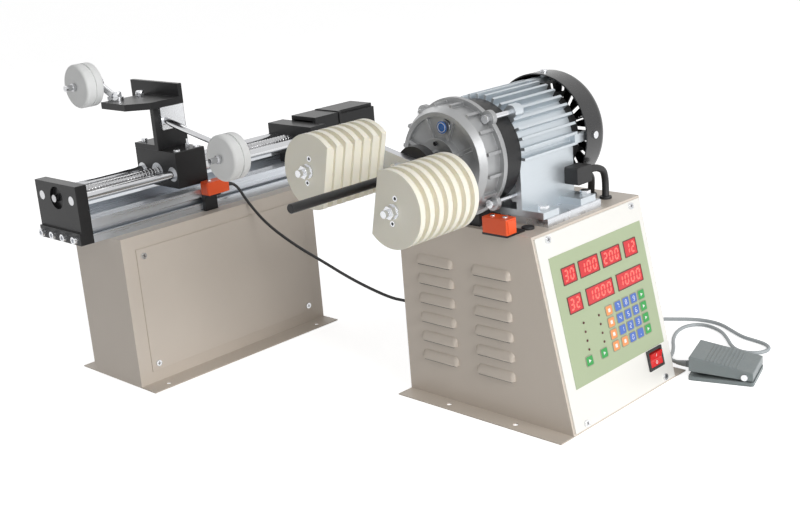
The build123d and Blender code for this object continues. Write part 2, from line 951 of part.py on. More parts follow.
with BuildPart() as motor_housing:
    with BuildSketch(across(housing_front_x)):
        with Locations((0, -axis_above_plate / 2)):
            Rectangle(2 * skirt_half_width, axis_above_plate)
            Rectangle(
                2 * (skirt_half_width - skirt_wall), axis_above_plate, mode=Mode.SUBTRACT
            )
        with Locations((0, foot_height / 2 - axis_above_plate)):
            Rectangle(2 * foot_half_width, foot_height)
        Circle(housing_radius)
        Circle(housing_bore, mode=Mode.SUBTRACT)
    extrude(amount=housing_length)
    # cooling fins over the top and down both sides
    fin_length = fin_tip_radius - housing_bore - sheet
    with BuildSketch(across(housing_front_x)):
        with PolarLocations(
            fin_tip_radius - fin_length / 2,
            fin_count,
            start_angle=90 - fin_step * (fin_count - 1) / 2,
            angular_range=fin_step * (fin_count - 1),
            endpoint=True,
        ):
            Rectangle(fin_length, fin_thickness)
    extrude(amount=housing_length)
    # the feet stop short of each other at the middle
    with BuildSketch(across(housing_front_x + housing_length / 2 - foot_cut_length / 2)):
        for side in (-1, 1):
            foot_middle = (foot_half_width + skirt_half_width) / 2
            with Locations((side * foot_middle, foot_height / 2 - axis_above_plate)):
                Rectangle(foot_half_width - skirt_half_width, foot_height + cut_over)
    extrude(amount=foot_cut_length, mode=Mode.SUBTRACT)
    with BuildSketch(Plane.XY.offset(plate_top)):
        with Locations(*foot_bolt_places):
            Circle(foot_bolt_radius)
    extrude(amount=foot_height, mode=Mode.SUBTRACT)
    # four front bosses, tapped for the long gearbox bolts
    with BuildSketch(across(housing_front_x)):
        with PolarLocations(boss_reach, boss_count, start_angle=boss_turn):
            Circle(boss_radius)
        with PolarLocations((boss_reach + housing_radius) / 2, boss_count, start_angle=boss_turn):
            Rectangle(boss_reach - housing_radius + boss_radius, 2 * boss_radius)
        Circle(housing_bore, mode=Mode.SUBTRACT)
    extrude(amount=boss_length)
    with BuildSketch(across(housing_front_x)):
        with PolarLocations(boss_reach, boss_count, start_angle=boss_turn):
            Circle(lug_bolt_radius)
    extrude(amount=boss_length - sheet, mode=Mode.SUBTRACT)
    # four fingers that carry the cowl, each with a pad under its screw
    with BuildSketch(across(housing_rear_x - lug_thickness)):
        with PolarLocations((fin_tip_radius + housing_bore) / 2, finger_count):
            Rectangle(fin_tip_radius - housing_bore - 2 * sheet, lug_width)
    extrude(amount=lug_thickness)
    with BuildSketch(across(housing_rear_x - lug_thickness)):
        with PolarLocations(fin_tip_radius - lug_thickness / 2, finger_count):
            Rectangle(lug_thickness, lug_width)
    extrude(amount=lug_thickness + lug_length)
    for quarter in range(finger_count):
        turn = radians(quarter_turn * quarter)
        pad_plane = Plane(
            origin=(cowl_screw_x, axis_y, axis_z),
            x_dir=(1, 0, 0),
            z_dir=(0, cos(turn), sin(turn)),
        )
        with BuildSketch(pad_plane.offset(fin_tip_radius - sheet)):
            Circle(cowl_screw_head)
        extrude(amount=cowl_radius - cowl_wall - fin_tip_radius + sheet - loose_gap)
        with BuildSketch(pad_plane.offset(fin_tip_radius - lug_thickness)):
            Circle(cowl_screw_radius)
        extrude(amount=cowl_radius, mode=Mode.SUBTRACT)
finish(motor_housing, "motor_housing")

# ==================================================================== gears and cover

web_x = housing_front_x - ring_web
gear_rear_x = web_x - gear_side_gap
gear_front_x = gear_rear_x - gear_width
carrier_rear_x = gear_front_x - gear_side_gap
carrier_front_x = carrier_rear_x - carrier_thickness
ring_teeth = sun_teeth + 2 * planet_teeth
planet_reach = gear_module * (sun_teeth + planet_teeth) / 2
planet_angles = [360 * planet / planet_count for planet in range(planet_count)]

with BuildPart() as gear_ring:
    with BuildSketch(across(ring_front_x)):
        Circle(ring_radius)
        with BuildLine():
            Polyline(*gear_outline(ring_teeth, True, 180 / ring_teeth), close=True)
        make_face(mode=Mode.SUBTRACT)
    extrude(amount=ring_length - ring_web)
    with BuildSketch(across(web_x)):
        Circle(ring_radius)
        Circle(seat_lip_radius, mode=Mode.SUBTRACT)
    extrude(amount=ring_web)
    with BuildSketch(across(housing_front_x)):
        Circle(bearing_outer)
    extrude(amount=-bearing_width, mode=Mode.SUBTRACT)
    # a foot that props the ring on the cabinet's top
    with BuildSketch(across(web_x - ring_foot_length)):
        foot_rise = axis_z - head_height - ring_radius + ring_web / 2
        with Locations((0, head_height - axis_z + foot_rise / 2)):
            Rectangle(ring_foot_width, foot_rise)
    extrude(amount=ring_foot_length)
finish(gear_ring, "gear_ring")

flange_x = ring_front_x - cover_flange
barrel_end_x = flange_x - cover_barrel_length
recess_x = cover_face_x + cover_recess_depth
inner_face_x = recess_x + cover_wall
lip_x = hub_face_x + cover_lip
boss_rear_x = carrier_front_x - cover_boss_gap

with BuildPart() as gearbox_cover:
    with BuildSketch(axis_plane):
        Polygon(
            (ring_front_x, cover_barrel_radius - cover_wall),
            (ring_front_x, cover_flange_radius),
            (flange_x, cover_flange_radius),
            (flange_x, cover_barrel_radius),
            (barrel_end_x, cover_barrel_radius),
            (cover_face_x, cover_face_radius),
            (cover_face_x, cover_recess_radius),
            (recess_x, cover_recess_radius - cut_over),
            (recess_x, cover_hub_radius),
            (hub_face_x, cover_hub_radius),
            (hub_face_x, cover_lip_radius),
            (lip_x, cover_lip_radius),
            (lip_x, spindle_bearing_outer),
            (boss_rear_x, spindle_bearing_outer),
            (boss_rear_x, cover_hub_radius),
            (inner_face_x, cover_hub_radius),
            (inner_face_x, cover_recess_radius),
            (barrel_end_x, cover_barrel_radius - cover_wall),
            align=None,
        )
    revolve(axis=spindle_axis)
    # four lugs for the long bolts
    with BuildSketch(across(flange_x)):
        with PolarLocations(boss_reach, boss_count, start_angle=boss_turn):
            Circle(lug_pad)
        Circle(cover_barrel_radius - cover_wall, mode=Mode.SUBTRACT)
        with PolarLocations(boss_reach, boss_count, start_angle=boss_turn):
            Circle(lug_bolt_radius, mode=Mode.SUBTRACT)
    extrude(amount=cover_flange)
    with BuildSketch(across(flange_x)):
        with PolarLocations(boss_reach, boss_count, start_angle=boss_turn):
            Circle(lug_bolt_radius)
    extrude(amount=cover_flange, mode=Mode.SUBTRACT)
    # ribs across the recessed face
    rib_middle = (cover_recess_radius + cover_hub_radius) / 2
    rib_length = cover_recess_radius - cover_hub_radius
    with BuildSketch(across(recess_x)):
        with PolarLocations(rib_middle, cover_rib_count, start_angle=boss_turn / 2):
            Rectangle(rib_length, cover_rib_width)
    extrude(amount=-cover_rib_height)
    # a bare round pad on the face
    badge_turn = radians(badge_angle)
    with BuildSketch(across(recess_x)):
        with Locations((badge_reach * cos(badge_turn), badge_reach * sin(badge_turn))):
            Circle(badge_radius)
    extrude(amount=-(cover_rib_height + badge_rise))
    # fins along the barrel
    with BuildSketch(across(barrel_end_x)):
        fin_reach = cover_barrel_radius + cover_rib_height / 2
        with PolarLocations(fin_reach, 2 * cover_rib_count, start_angle=boss_turn / 4):
            Rectangle(cover_rib_height + cut_over, cover_rib_width)
    extrude(amount=cover_barrel_length)
finish(gearbox_cover, "gearbox_cover")

housing_middle_x = housing_front_x + housing_length / 2

with BuildPart() as stator:
    with BuildSketch(across(housing_middle_x)):
        Circle(housing_bore)
        Circle(stator_bore, mode=Mode.SUBTRACT)
        with PolarLocations((housing_bore + stator_bore) / 2, stator_slots):
            Circle(stator_slot_radius, mode=Mode.SUBTRACT)
    extrude(amount=stator_length / 2, both=True)
    for side in (-1, 1):
        with BuildSketch(across(housing_middle_x + side * stator_length / 2)):
            Circle(coil_end_outer)
            Circle(coil_end_inner, mode=Mode.SUBTRACT)
        extrude(amount=side * coil_end_length)
finish(stator, "stator")

shield_rear_x = housing_rear_x + shield_thickness
fan_x = shield_rear_x + fan_clear
shaft_end_x = fan_x + fan_disc + fan_blade_height

with BuildPart() as rotor:
    with BuildSketch(across(housing_middle_x)):
        Circle(stator_bore - rotor_core_gap)
    extrude(amount=rotor_core_length / 2, both=True)
    with BuildSketch(across(gear_rear_x)):
        Circle(rotor_shaft_radius)
    extrude(amount=shaft_end_x - gear_rear_x)
    # the sun gear is cut on the shaft's front end
    with BuildSketch(across(gear_front_x)):
        with BuildLine():
            Polyline(*gear_outline(sun_teeth), close=True)
        make_face()
    extrude(amount=gear_width)
finish(rotor, "rotor")

rotor_bearings_x = (housing_front_x - bearing_width, housing_rear_x)
spindle_bearings_x = (lip_x, boss_rear_x - spindle_bearing_width)

with BuildPart() as motor_bearings:
    for bearing_x in rotor_bearings_x:
        with BuildSketch(across(bearing_x)):
            Circle(bearing_outer)
            Circle(rotor_shaft_radius + running_gap, mode=Mode.SUBTRACT)
        extrude(amount=bearing_width)
    for bearing_x in spindle_bearings_x:
        with BuildSketch(across(bearing_x)):
            Circle(spindle_bearing_outer)
            Circle(spindle_radius + running_gap, mode=Mode.SUBTRACT)
        extrude(amount=spindle_bearing_width)
finish(motor_bearings, "motor_bearings")

with BuildPart() as rear_end_shield:
    with BuildSketch(across(housing_rear_x)):
        Circle(shield_radius)
        Circle(seat_lip_radius, mode=Mode.SUBTRACT)
    extrude(amount=shield_thickness)
    with BuildSketch(across(housing_rear_x)):
        Circle(housing_bore)
        Circle(housing_bore - shield_spigot, mode=Mode.SUBTRACT)
    extrude(amount=-shield_spigot)
    with BuildSketch(across(housing_rear_x)):
        Circle(bearing_outer)
    extrude(amount=bearing_width, mode=Mode.SUBTRACT)
finish(rear_end_shield, "rear_end_shield")

cowl_rear_x = cowl_front_x + cowl_length
slot_middle = (cowl_slot_inner + cowl_slot_outer) / 2

with BuildPart() as fan_cowl:
    with BuildSketch(across(cowl_front_x)):
        Circle(cowl_radius)
    extrude(amount=cowl_length)
    fillet(fan_cowl.edges().sort_by(Axis.X)[-1], radius=cowl_round)
    offset(amount=-cowl_wall, openings=fan_cowl.faces().sort_by(Axis.X)[0])
    with BuildSketch(across(cowl_rear_x)):
        with PolarLocations(slot_middle, cowl_slot_count):
            SlotOverall(cowl_slot_outer - cowl_slot_inner, cowl_slot_width)
    extrude(amount=-2 * cowl_wall, mode=Mode.SUBTRACT)
    for quarter in range(finger_count):
        turn = radians(quarter_turn * quarter)
        hole_plane = Plane(
            origin=(cowl_screw_x, axis_y, axis_z),
            x_dir=(1, 0, 0),
            z_dir=(0, cos(turn), sin(turn)),
        )
        with BuildSketch(hole_plane.offset(fin_tip_radius)):
            Circle(cowl_screw_radius)
        extrude(amount=cowl_radius, mode=Mode.SUBTRACT)
finish(fan_cowl, "fan_cowl")

with BuildPart() as cooling_fan:
    with BuildSketch(across(fan_x)):
        Circle(fan_radius)
    extrude(amount=fan_disc)
    with BuildSketch(across(fan_x)):
        Circle(fan_hub_radius)
        with PolarLocations((fan_radius + fan_hub_radius) / 2, fan_blades):
            Rectangle(fan_radius - fan_hub_radius + cut_over, fan_blade_thickness)
    extrude(amount=fan_disc + fan_blade_height)
    with BuildSketch(across(fan_x)):
        Circle(rotor_shaft_radius)
    extrude(amount=fan_disc + fan_blade_height, mode=Mode.SUBTRACT)
finish(cooling_fan, "cooling_fan")

for number, planet_angle in enumerate(planet_angles, start=1):
    planet_turn = radians(planet_angle)
    planet_y = axis_y + planet_reach * cos(planet_turn)
    planet_z = axis_z + planet_reach * sin(planet_turn)
    with BuildPart() as planet_gear:
        with BuildSketch(across(gear_front_x, planet_y, planet_z)):
            with BuildLine():
                Polyline(*gear_outline(planet_teeth, False, planet_angle), close=True)
            make_face()
            Circle(planet_pin_radius + running_gap, mode=Mode.SUBTRACT)
        extrude(amount=gear_width)
    finish(planet_gear, f"planet_gear_{number}")

with BuildPart() as motor_fasteners:
    # foot bolts, down through the base plate and the cabinet's top
    with BuildSketch(Plane.XY.offset(plate_top + foot_height)):
        with Locations(*foot_bolt_places):
            RegularPolygon(foot_bolt_head, 6)
    extrude(amount=foot_bolt_head_height)
    with BuildSketch(Plane.XY.offset(plate_top + foot_height)):
        with Locations(*foot_bolt_places):
            Circle(foot_bolt_radius)
    extrude(amount=-(foot_height + plate_thickness + 2 * sheet + foot_bolt_head_height))
    with BuildSketch(Plane.XY.offset(head_height - sheet)):
        with Locations(*foot_bolt_places):
            RegularPolygon(foot_bolt_head, 6)
    extrude(amount=-foot_bolt_head_height)
    # long bolts through the cover's lugs, outside the ring, into the housing
    with BuildSketch(across(flange_x)):
        with PolarLocations(boss_reach, boss_count, start_angle=boss_turn):
            Circle(lug_bolt_head)
    extrude(amount=-lug_bolt_head_length)
    with BuildSketch(across(flange_x)):
        with PolarLocations(boss_reach, boss_count, start_angle=boss_turn):
            Circle(lug_bolt_radius)
    extrude(amount=cover_flange + ring_length + boss_length - 2 * sheet)
    # radial screws of the cowl
    for quarter in range(finger_count):
        turn = radians(quarter_turn * quarter)
        screw_plane = Plane(
            origin=(cowl_screw_x, axis_y, axis_z),
            x_dir=(1, 0, 0),
            z_dir=(0, cos(turn), sin(turn)),
        )
        with BuildSketch(screw_plane.offset(cowl_radius)):
            Circle(cowl_screw_head)
        extrude(amount=cowl_screw_radius)
        with BuildSketch(screw_plane.offset(cowl_radius)):
            Circle(cowl_screw_radius)
        extrude(amount=fin_tip_radius - lug_thickness - cowl_radius)
finish(motor_fasteners, "motor_fasteners")

# ============================================================ spindle, arm and formers

arm_rear_x = arm_front_x + arm_thickness
flange_rear_x = arm_rear_x + spindle_flange_length

with BuildPart() as spindle:
    with BuildSketch(across(arm_rear_x)):
        Circle(spindle_flange_radius)
    extrude(amount=spindle_flange_length)
    with BuildSketch(across(flange_rear_x)):
        Circle(spindle_radius)
    extrude(amount=carrier_front_x - flange_rear_x)
    with BuildSketch(across(carrier_front_x)):
        Circle(carrier_radius)
    extrude(amount=carrier_thickness)
    with BuildSketch(across(carrier_rear_x)):
        with PolarLocations(planet_reach, planet_count):
            Circle(planet_pin_radius)
    extrude(amount=gear_side_gap + gear_width)
    with BuildSketch(across(arm_rear_x)):
        Circle(rod_tail_radius)
    extrude(amount=rod_bore_depth, mode=Mode.SUBTRACT)
    with BuildSketch(arm_across(arm_rear_x)):
        with GridLocations(2 * arm_screw_reach, 0, 2, 1):
            Circle(arm_screw_radius)
    extrude(amount=spindle_flange_length - sheet, mode=Mode.SUBTRACT)
finish(spindle, "spindle")

with BuildPart() as cross_arm:
    with BuildSketch(arm_across(arm_front_x)):
        RectangleRounded(arm_length, arm_height, arm_corner)
        Circle(rod_tail_radius, mode=Mode.SUBTRACT)
        with GridLocations(2 * arm_screw_reach, 0, 2, 1):
            Circle(arm_screw_radius, mode=Mode.SUBTRACT)
        with GridLocations(slot_inner + slot_outer, 0, 2, 1):
            SlotCenterToCenter(
                slot_outer - slot_inner,
                2 * (former_bolt_radius + former_slot_gap),
                mode=Mode.SUBTRACT,
            )
    extrude(amount=arm_thickness)
finish(cross_arm, "cross_arm")

with BuildPart() as mandrel_rod:
    with BuildSketch(across(rod_front_x)):
        Circle(rod_radius)
    extrude(amount=arm_front_x - rod_neck_length - rod_front_x)
    chamfer(mandrel_rod.edges().sort_by(Axis.X)[0], length=cut_over)
    # relief neck in front of the arm, then the tail held in the arm and the spindle
    with BuildSketch(across(arm_front_x - rod_neck_length)):
        Circle(rod_neck_radius)
    extrude(amount=rod_neck_length)
    with BuildSketch(across(arm_front_x)):
        Circle(rod_tail_radius)
    extrude(amount=arm_thickness + rod_bore_depth)
finish(mandrel_rod, "mandrel_rod")

former_pitch = former_rib + former_groove
former_length = former_ribs * former_pitch - former_groove
former_front_x = arm_front_x - former_length
insert_places = [(former_reach, side * insert_reach) for side in (-1, 1)]


def former_face(x, side):
    """A plane on a former; its local x points outward along the arm."""
    return Plane(
        origin=(x, axis_y, axis_z), x_dir=(0, side * arm_y, side * arm_z), z_dir=(1, 0, 0)
    )


for side, place in ((1, "rear"), (-1, "front")):
    with BuildPart() as former:
        for rib in range(former_ribs):
            with BuildSketch(former_face(former_front_x + rib * former_pitch, side)):
                with Locations((former_reach - former_centre_inset, 0)):
                    Circle(former_radius)
                with Locations((former_reach - former_flat_inset, 0)):
                    Rectangle(
                        2 * former_radius,
                        2 * former_radius,
                        align=(Align.MAX, Align.CENTER),
                        mode=Mode.SUBTRACT,
                    )
            extrude(amount=former_rib)
        with BuildSketch(former_face(former_front_x, side)):
            with Locations((former_reach - former_centre_inset, 0)):
                Circle(former_radius - former_groove_depth)
            with Locations((former_reach - former_flat_inset + flat_groove_depth, 0)):
                Rectangle(
                    2 * former_radius,
                    2 * former_radius,
                    align=(Align.MAX, Align.CENTER),
                    mode=Mode.SUBTRACT,
                )
        extrude(amount=former_length)
        with BuildSketch(former_face(former_front_x, side)):
            with Locations((former_reach, 0)):
                Circle(former_bolt_radius)
        extrude(amount=former_length, mode=Mode.SUBTRACT)
        with BuildSketch(former_face(former_front_x, side)):
            with Locations(*insert_places):
                Circle(insert_radius)
        extrude(amount=insert_depth, mode=Mode.SUBTRACT)
    finish(former, f"{place}_former")

    with BuildPart() as former_bolt:
        # head behind the arm, shank through slot and former, washer, nut and tip
        with BuildSketch(former_face(arm_rear_x, side)):
            with Locations((former_reach, 0)):
                RegularPolygon(nut_across / 2, 6, major_radius=False)
        extrude(amount=bolt_head_height)
        with BuildSketch(former_face(arm_rear_x, side)):
            with Locations((former_reach, 0)):
                Circle(former_bolt_radius)
        extrude(amount=-(arm_thickness + former_length + washer_thickness + nut_height + bolt_tip))
        with BuildSketch(former_face(former_front_x, side)):
            with Locations((former_reach, 0)):
                Circle(washer_radius)
        extrude(amount=-washer_thickness)
        with BuildSketch(former_face(former_front_x - washer_thickness, side)):
            with Locations((former_reach, 0)):
                RegularPolygon(nut_across / 2, 6, major_radius=False)
        extrude(amount=-nut_height)
        # threaded brass inserts either side of the bolt
        with BuildSketch(former_face(former_front_x, side)):
            with Locations(*insert_places):
                Circle(insert_radius)
                Circle(insert_bore, mode=Mode.SUBTRACT)
        extrude(amount=insert_depth)
    finish(former_bolt, f"{place}_former_bolt")

with BuildPart() as arm_screws:
    with BuildSketch(arm_across(arm_front_x)):
        with GridLocations(2 * arm_screw_reach, 0, 2, 1):
            Circle(arm_screw_head)
    extrude(amount=-arm_screw_head_length)
    with BuildSketch(arm_across(arm_front_x)):
        with GridLocations(2 * arm_screw_reach, 0, 2, 1):
            Circle(arm_screw_radius)
    extrude(amount=arm_thickness + spindle_flange_length - 2 * sheet)
    with BuildSketch(arm_across(arm_front_x - arm_screw_head_length)):
        with GridLocations(2 * arm_screw_reach, 0, 2, 1):
            RegularPolygon(arm_screw_radius, 6)
    extrude(amount=arm_screw_head_length / 2, mode=Mode.SUBTRACT)
finish(arm_screws, "arm_screws")

# ================================================== leads, grommets and sensors, head


def lead_part(route, radius):
    """Sweep a round lead along straight runs joined by tangent arcs."""
    with BuildPart(mode=Mode.PRIVATE) as lead:
        with BuildLine() as path:
            FilletPolyline(*route, radius=bend_radii(route))
        with BuildSketch(Plane(origin=path.line @ 0, z_dir=path.line % 0)):
            Circle(radius)
        sweep(path=path.line)
    section = pi * radius**2
    radii = ", ".join(f"{bend:.0f}" for bend in bend_radii(route))
    length = path.wires()[0].length
    share = lead.part.volume / (section * length)
    print(f"lead length {length:.0f}, bend radii {radii}, volume share {share:.4f}")
    return lead


with BuildPart() as motor_leads:
    for route in (inner_motor_lead, outer_motor_lead):
        add(lead_part(route, lead_radius).part)
    # boot on the side of the motor's skirt
    with BuildSketch(Plane.XZ.offset(skirt_half_width - axis_y)):
        with Locations((boot_near_x + boot_length / 2, (boot_low + boot_high) / 2)):
            RectangleRounded(boot_length, boot_high - boot_low, boot_corner)
    extrude(amount=boot_depth)
finish(motor_leads, "motor_leads")

with BuildPart() as cable_grommets:
    with BuildSketch(Plane.XY.offset(head_height)):
        with Locations(*grommet_places):
            Circle(grommet_radius)
    extrude(amount=grommet_rise)
    fillet(cable_grommets.faces().sort_by(Axis.Z)[-3:].edges(), radius=cut_over)
    with BuildSketch(Plane.XY.offset(head_height)):
        with Locations(*grommet_places):
            Circle(grommet_radius - cut_over)
    extrude(amount=-2 * sheet)
    for route in (inner_motor_lead, outer_motor_lead):
        add(lead_part(route, lead_radius).part, mode=Mode.SUBTRACT)
finish(cable_grommets, "cable_grommets")

bracket_z = head_height + bracket_sheet
limit_sensor_x = stand_near_x + limit_sensor_start + sensor_length / 2
limit_sensor_y = stage_y - stage_width / 2 - sensor_width / 2
limit_sensor_z = profile_top - sensor_height + limit_sensor_rise
clip_middle_x = stand_near_x + limit_sensor_start + clip_width / 2
clip_face_y = stage_y - stage_width / 2

with BuildPart() as proximity_sensors:
    # one beside the gearbox, its sensing end toward the operator
    with BuildSketch(Plane.XY.offset(bracket_z)):
        with Locations((head_sensor_x, head_sensor_y)):
            Rectangle(sensor_width, sensor_length)
    extrude(amount=sensor_height)
    # one on the stage's side, its sensing end toward the near end
    with BuildSketch(Plane.XY.offset(limit_sensor_z)):
        with Locations((limit_sensor_x, limit_sensor_y)):
            Rectangle(sensor_length, sensor_width - clip_gap, align=(Align.CENTER, Align.CENTER))
    extrude(amount=sensor_height)
    fillet(proximity_sensors.edges().filter_by(Axis.Z), radius=sensor_round)
    # raised sensing faces
    with BuildSketch(Plane.XZ.offset(sensor_length / 2 - head_sensor_y)):
        with Locations((head_sensor_x, bracket_z + sensor_height / 2)):
            Rectangle(sensor_width - 4 * sensor_rib, sensor_height - 4 * sensor_rib)
    extrude(amount=sensor_rib)
    with BuildSketch(Plane.YZ.offset(limit_sensor_x - sensor_length / 2)):
        with Locations((limit_sensor_y, limit_sensor_z + sensor_height / 2)):
            Rectangle(sensor_width - 4 * sensor_rib, sensor_height - 4 * sensor_rib)
    extrude(amount=-sensor_rib)
    # mounting holes
    with BuildSketch(Plane.XY.offset(bracket_z + sensor_height)):
        with Locations((head_sensor_x, head_sensor_y)):
            with GridLocations(0, sensor_length / 2, 1, 2):
                Circle(screw_radius)
    extrude(amount=-sensor_height, mode=Mode.SUBTRACT)
    with BuildSketch(Plane.XY.offset(limit_sensor_z + sensor_height)):
        with Locations((limit_sensor_x, limit_sensor_y)):
            with GridLocations(sensor_length / 2, 0, 2, 1):
                Circle(screw_radius)
    extrude(amount=-sensor_height, mode=Mode.SUBTRACT)
finish(proximity_sensors, "proximity_sensors")

with BuildPart() as sensor_brackets:
    bracket_near_x = head_sensor_x - sensor_width / 2
    with BuildSketch(Plane.XY.offset(head_height)):
        with Locations((bracket_near_x, head_sensor_y)):
            Rectangle(
                sensor_width + bracket_reach, sensor_length, align=(Align.MIN, Align.CENTER)
            )
    extrude(amount=bracket_sheet)
    # clip hooked in the profile's side groove, under the limit sensor
    with BuildSketch(Plane.XZ.offset(-clip_face_y)):
        with Locations((clip_middle_x, limit_sensor_z - clip_drop / 2)):
            Rectangle(clip_width, clip_drop)
    extrude(amount=clip_thickness)
    with BuildSketch(Plane.XY.offset(limit_sensor_z)):
        with Locations((clip_middle_x, clip_face_y)):
            Rectangle(clip_width, sensor_width - 2 * clip_gap, align=(Align.CENTER, Align.MAX))
    extrude(amount=-bracket_sheet)
finish(sensor_brackets, "sensor_brackets")

# ====================================================================== traverse stand

stand_rear_y = stand_y + stand_depth / 2
stand_front = Plane.XZ.offset(-stand_front_y)
side_panel_length = stand_length - 2 * side_panel_inset_x
side_panel_height = side_panel_high - side_panel_low
side_panel_middle_z = (side_panel_high + side_panel_low) / 2
side_panel_screw_places = [
    (
        stand_x + side * (side_panel_length / 2 - side_panel_screw_inset),
        side_panel_middle_z + end * (side_panel_height / 2 - side_panel_screw_inset),
    )
    for side in (-1, 1)
    for end in (-1, 1)
]

with BuildPart() as stand_cabinet:
    with BuildSketch(Plane.XY):
        with Locations((stand_x, stand_y)):
            Rectangle(stand_length, stand_depth)
    extrude(amount=stand_height)
    offset(amount=-sheet, openings=stand_cabinet.faces().sort_by(Axis.Z)[0])
    with BuildSketch(stand_front):
        with Locations((stand_x, side_panel_middle_z)):
            Rectangle(side_panel_length - 2 * window_lip, side_panel_height - 2 * window_lip)
        with Locations(*side_panel_screw_places):
            Circle(screw_radius)
    extrude(amount=-2 * sheet, mode=Mode.SUBTRACT)
    for side, wall_y in ((-1, stand_front_y), (1, stand_rear_y)):
        with BuildSketch(Plane.XY):
            with Locations((stand_x, wall_y + side * (stand_flange - sheet) / 2)):
                Rectangle(stand_length, stand_flange + sheet)
            with Locations((stand_x, wall_y + side * stand_hole_reach)):
                with GridLocations(stand_length - 2 * stand_hole_inset, 0, 2, 1):
                    Circle(flange_hole_radius, mode=Mode.SUBTRACT)
        extrude(amount=sheet)
finish(stand_cabinet, "stand_cabinet")

with BuildPart() as stand_side_panel:
    with BuildSketch(stand_front):
        with Locations((stand_x, side_panel_middle_z)):
            Rectangle(side_panel_length, side_panel_height)
        with Locations(*side_panel_screw_places):
            Circle(screw_radius, mode=Mode.SUBTRACT)
    extrude(amount=side_panel_thickness)
finish(stand_side_panel, "stand_side_panel")

# ======================================================================== linear stage

stage_bed = Plane(origin=(0, stage_y, stand_height), x_dir=(0, 1, 0), z_dir=(1, 0, 0))
rail_places = [(side * rail_half_spacing, screw_z - stand_height) for side in (-1, 1)]
screw_place = (0, screw_z - stand_height)
block_near_x = profile_near_x - block_thickness
drive_far_x = profile_far_x + drive_block_thickness
mount_far_x = drive_far_x + mount_length
stepper_far_x = mount_far_x + stepper_length

with BuildPart() as stage_profile:
    with BuildSketch(stage_bed.offset(profile_near_x)):
        Rectangle(stage_width, profile_height, align=(Align.CENTER, Align.MIN))
        # tray along the top
        with Locations((0, profile_height)):
            Rectangle(
                tray_width, tray_depth, align=(Align.CENTER, Align.MAX), mode=Mode.SUBTRACT
            )
        # T-slots along both sides and underneath
        for side in (-1, 1):
            with Locations((side * stage_width / 2, profile_height / 2)):
                Rectangle(2 * slot_depth, slot_mouth, mode=Mode.SUBTRACT)
            with Locations((side * (stage_width / 2 - slot_depth), profile_height / 2)):
                Rectangle(slot_depth, 2 * slot_mouth, mode=Mode.SUBTRACT)
            with Locations((side * rail_half_spacing, 0)):
                Rectangle(slot_mouth, 2 * slot_depth, mode=Mode.SUBTRACT)
    extrude(amount=profile_length)
finish(stage_profile, "stage_profile")

with BuildPart() as bearing_blocks:
    # the near block, whose lip carries the socket screws
    with BuildSketch(stage_bed.offset(profile_near_x)):
        Rectangle(stage_width, profile_height + block_top, align=(Align.CENTER, Align.MIN))
        with Locations(*rail_places):
            Circle(rail_radius, mode=Mode.SUBTRACT)
        with Locations(screw_place):
            Circle(journal_radius + running_gap, mode=Mode.SUBTRACT)
    extrude(amount=-block_thickness)
    with BuildSketch(stage_bed.offset(block_near_x)):
        Rectangle(stage_width, block_lip_height, align=(Align.CENTER, Align.MIN))
    extrude(amount=-block_lip)
    with BuildSketch(stage_bed.offset(block_near_x)):
        with Locations(screw_place):
            Circle(counterbore_radius)
    extrude(amount=counterbore_depth, mode=Mode.SUBTRACT)
    with BuildSketch(stage_bed.offset(block_near_x - block_lip)):
        with Locations((0, block_screw_rise)):
            with GridLocations(stage_screw_spacing, 0, stage_screw_count, 1):
                Circle(stage_screw_radius)
    extrude(amount=block_lip + block_thickness, mode=Mode.SUBTRACT)
    # the drive end's block
    with BuildSketch(stage_bed.offset(profile_far_x)):
        Rectangle(stage_width, profile_height + block_top, align=(Align.CENTER, Align.MIN))
        with Locations(*rail_places):
            Circle(rail_radius, mode=Mode.SUBTRACT)
        with Locations(screw_place):
            Circle(journal_radius + running_gap, mode=Mode.SUBTRACT)
    extrude(amount=drive_block_thickness)
    # square housing around the coupling, open on its underside
    with BuildSketch(stage_bed.offset(drive_far_x)):
        with Locations(screw_place):
            Rectangle(mount_side, mount_side)
            Rectangle(
                mount_side - 2 * mount_wall, mount_side - 2 * mount_wall, mode=Mode.SUBTRACT
            )
        with Locations((0, screw_z - stand_height - mount_side / 2)):
            Rectangle(mount_side - 2 * mount_wall, 3 * mount_wall, mode=Mode.SUBTRACT)
    extrude(amount=mount_length)
finish(bearing_blocks, "bearing_blocks")

